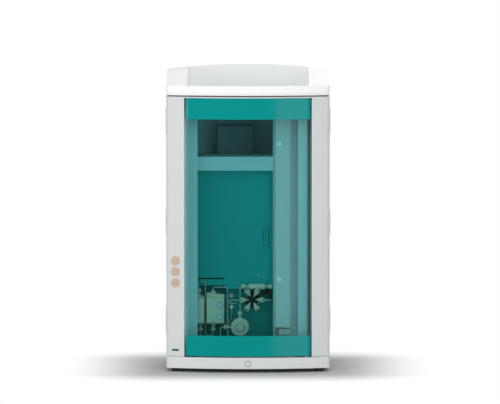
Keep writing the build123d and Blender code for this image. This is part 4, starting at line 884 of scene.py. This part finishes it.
def screw_heads(name, node, facing, outline, dome, recess):
    """Heads on the solids of one node; facing is the sign of their direction along Y."""
    points, faces = [], []
    for solid in solids_of(node):
        low, high = solid.min(axis=0), solid.max(axis=0)
        middle_x, middle_z = (low[0] + high[0]) / 2, (low[2] + high[2]) / 2
        radius, height = (high[0] - low[0]) / 2, high[1] - low[1]
        back = low[1] if facing > 0 else high[1]
        edge = min(dome, height / 2)
        start = len(points)
        bend = dome_break * edge
        rings = [(radius, 0.0), (radius, height - edge), (radius - bend, height - bend)]
        rings += [(radius - edge, height), (None, height), (None, height - recess)]
        for wide, rise in rings:
            for step in range(head_steps):
                angle = 2 * math.pi * step / head_steps
                reach = outline(angle, radius) if wide is None else wide
                x, z = middle_x + reach * math.cos(angle), middle_z + reach * math.sin(angle)
                points.append((x, back + facing * rise, z))
        for row in range(len(rings) - 1):
            for step in range(head_steps):
                a, b = start + row * head_steps, start + (row + 1) * head_steps
                following = (step + 1) % head_steps
                faces.append((a + step, a + following, b + following, b + step))
        for row in (0, len(rings) - 1):
            faces.append(tuple(start + row * head_steps + step for step in range(head_steps)))
    piece = new_piece(name, points, faces, [steel], smooth=30.0)
    shell = bmesh.new()
    shell.from_mesh(piece.data)
    bmesh.ops.recalc_face_normals(shell, faces=shell.faces)
    shell.to_mesh(piece.data)
    shell.free()
    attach(piece, "cabinet")
    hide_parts(node)
    print(name, len(faces), "faces")


screw_heads("rear_screw_heads", "rear_panel_screws", 1, cross_outline, 1.0, 1.1)
screw_heads("valve_screw_heads", "valve_screws", -1, hex_outline, 0.4, 1.2)
screw_heads("panel_screw_head", "panel_screw", -1, hex_outline, 0.3, 0.7)

# %% [markdown]
# ## Studio
# The object stands on a white floor in front of white. The lamps are five soft boxes: a broad one above
# and in front, one overhead for the tray, a tall one in front on the right, whose reflection brightens the
# door's right side, one on the left, and one behind for the rear panel. The camera sees a white world, the
# solids get a dimmer one as fill light, and what shines mirrors one that is dimmer still, so that the clear
# door doesn't turn milky.

# %% Soft boxes
def soft_box(name, place, target, width, height, power):
    lamp = bpy.data.lights.new(name, "AREA")
    lamp.shape = "RECTANGLE"
    lamp.size = width
    lamp.size_y = height
    lamp.energy = power
    holder = bpy.data.objects.new(name, lamp)
    bpy.context.scene.collection.objects.link(holder)
    holder.location = place
    way = Vector(target) - Vector(place)
    holder.rotation_euler = way.to_track_quat("-Z", "Y").to_euler()


soft_box("top_box", (0.0, -1.9, 2.3), (0.0, 0.0, 0.3), 2.8, 2.0, 20.0)
soft_box("over_box", (0.0, 0.35, 2.4), (0.0, 0.0, 0.6), 1.8, 1.6, 12.0)
soft_box("back_box", (0.7, 2.5, 1.5), (0.0, 0.0, 0.3), 1.8, 1.6, 16.0)
soft_box("right_box", (1.35, -2.35, 0.1), (0.0, 0.0, 0.1), 1.35, 3.2, 26.0)
soft_box("left_box", (-2.5, -1.7, 0.7), (0.0, 0.0, 0.3), 1.4, 1.8, 27.0)
print("five soft boxes")

# %% World
seen_strength, fill_strength, mirrored_strength = 1.0, 0.40, 0.16
world = bpy.data.worlds.new("studio")
world.use_nodes = True
bpy.context.scene.world = world
world_tree = world.node_tree
world_tree.nodes.clear()


def white_world(strength):
    """An even white background."""
    node = world_tree.nodes.new("ShaderNodeBackground")
    node.inputs["Color"].default_value = (1.0, 1.0, 1.0, 1.0)
    node.inputs["Strength"].default_value = strength
    return node.outputs[0]


def world_node(kind, *links):
    """A node of the world, with its first inputs linked."""
    node = world_tree.nodes.new(kind)
    for link, socket in zip(links, node.inputs):
        world_tree.links.new(link, socket)
    return node


rays = world_tree.nodes.new("ShaderNodeLightPath").outputs
direct = world_node("ShaderNodeMath", rays["Is Camera Ray"], rays["Is Transmission Ray"])
direct.operation = "MAXIMUM"
unseen = world_node(
    "ShaderNodeMixShader", rays["Is Glossy Ray"], white_world(fill_strength), white_world(mirrored_strength)
)
choice = world_node("ShaderNodeMixShader", direct.outputs[0], unseen.outputs[0], white_world(seen_strength))
world_node("ShaderNodeOutputWorld", choice.outputs[0])
print("world ready")

# %% [markdown]
# ## Floor
# The floor catches a soft shadow close to the foot, and further out it turns into plain white, so that no
# edge shows between the floor and the world. Close to the foot its tone is darker for the camera than for
# other rays, a painted shade which keeps the shadow deep while the light that it throws back stays. Shiny
# pieces don't mirror it.

# %% Floor
foot_half, shadow_reach, shadow_depth = 0.18, 0.23, 0.8
floor_half = 60000
floor_bright, floor_seen_shade, pure_white = (0.93, 0.93, 0.93), (0.50, 0.51, 0.51), (1.0, 1.0, 1.0, 1.0)


def white_floor():
    paint = Paint("studio_floor")
    camera_ray = paint.add("ShaderNodeLightPath", {}, take=0)
    glossy_ray = paint.add("ShaderNodeLightPath", {}, take=3)
    # For the camera the floor is painted darker near the foot, a painted shade that deepens the shadow.
    matt = paint.add("ShaderNodeBsdfDiffuse", {}, paint.blend(camera_ray, floor_bright, floor_seen_shade))
    far = paint.add("ShaderNodeEmission", {}, pure_white, camera_ray)
    beside = (paint.axis(0).size() - foot_half).largest(0.0)
    before = shadow_depth * (paint.axis(1).size() - foot_half).largest(0.0)
    away = (beside * beside + before * before) ** 0.5
    fade = paint.add("ShaderNodeMapRange", {"interpolation_type": "SMOOTHSTEP"}, away, 0.0, shadow_reach)
    lit = paint.add("ShaderNodeMixShader", {}, fade * camera_ray, matt, far)
    clear = paint.add("ShaderNodeBsdfTransparent", {}, pure_white)
    return paint.done(paint.add("ShaderNodeMixShader", {}, glossy_ray, lit, clear))


corners = [(x * floor_half, y * floor_half, 0) for x, y in ((-1, -1), (1, -1), (1, 1), (-1, 1))]
floor = new_piece("studio_floor", corners, [(0, 1, 2, 3)], [white_floor()])
print("floor ready")
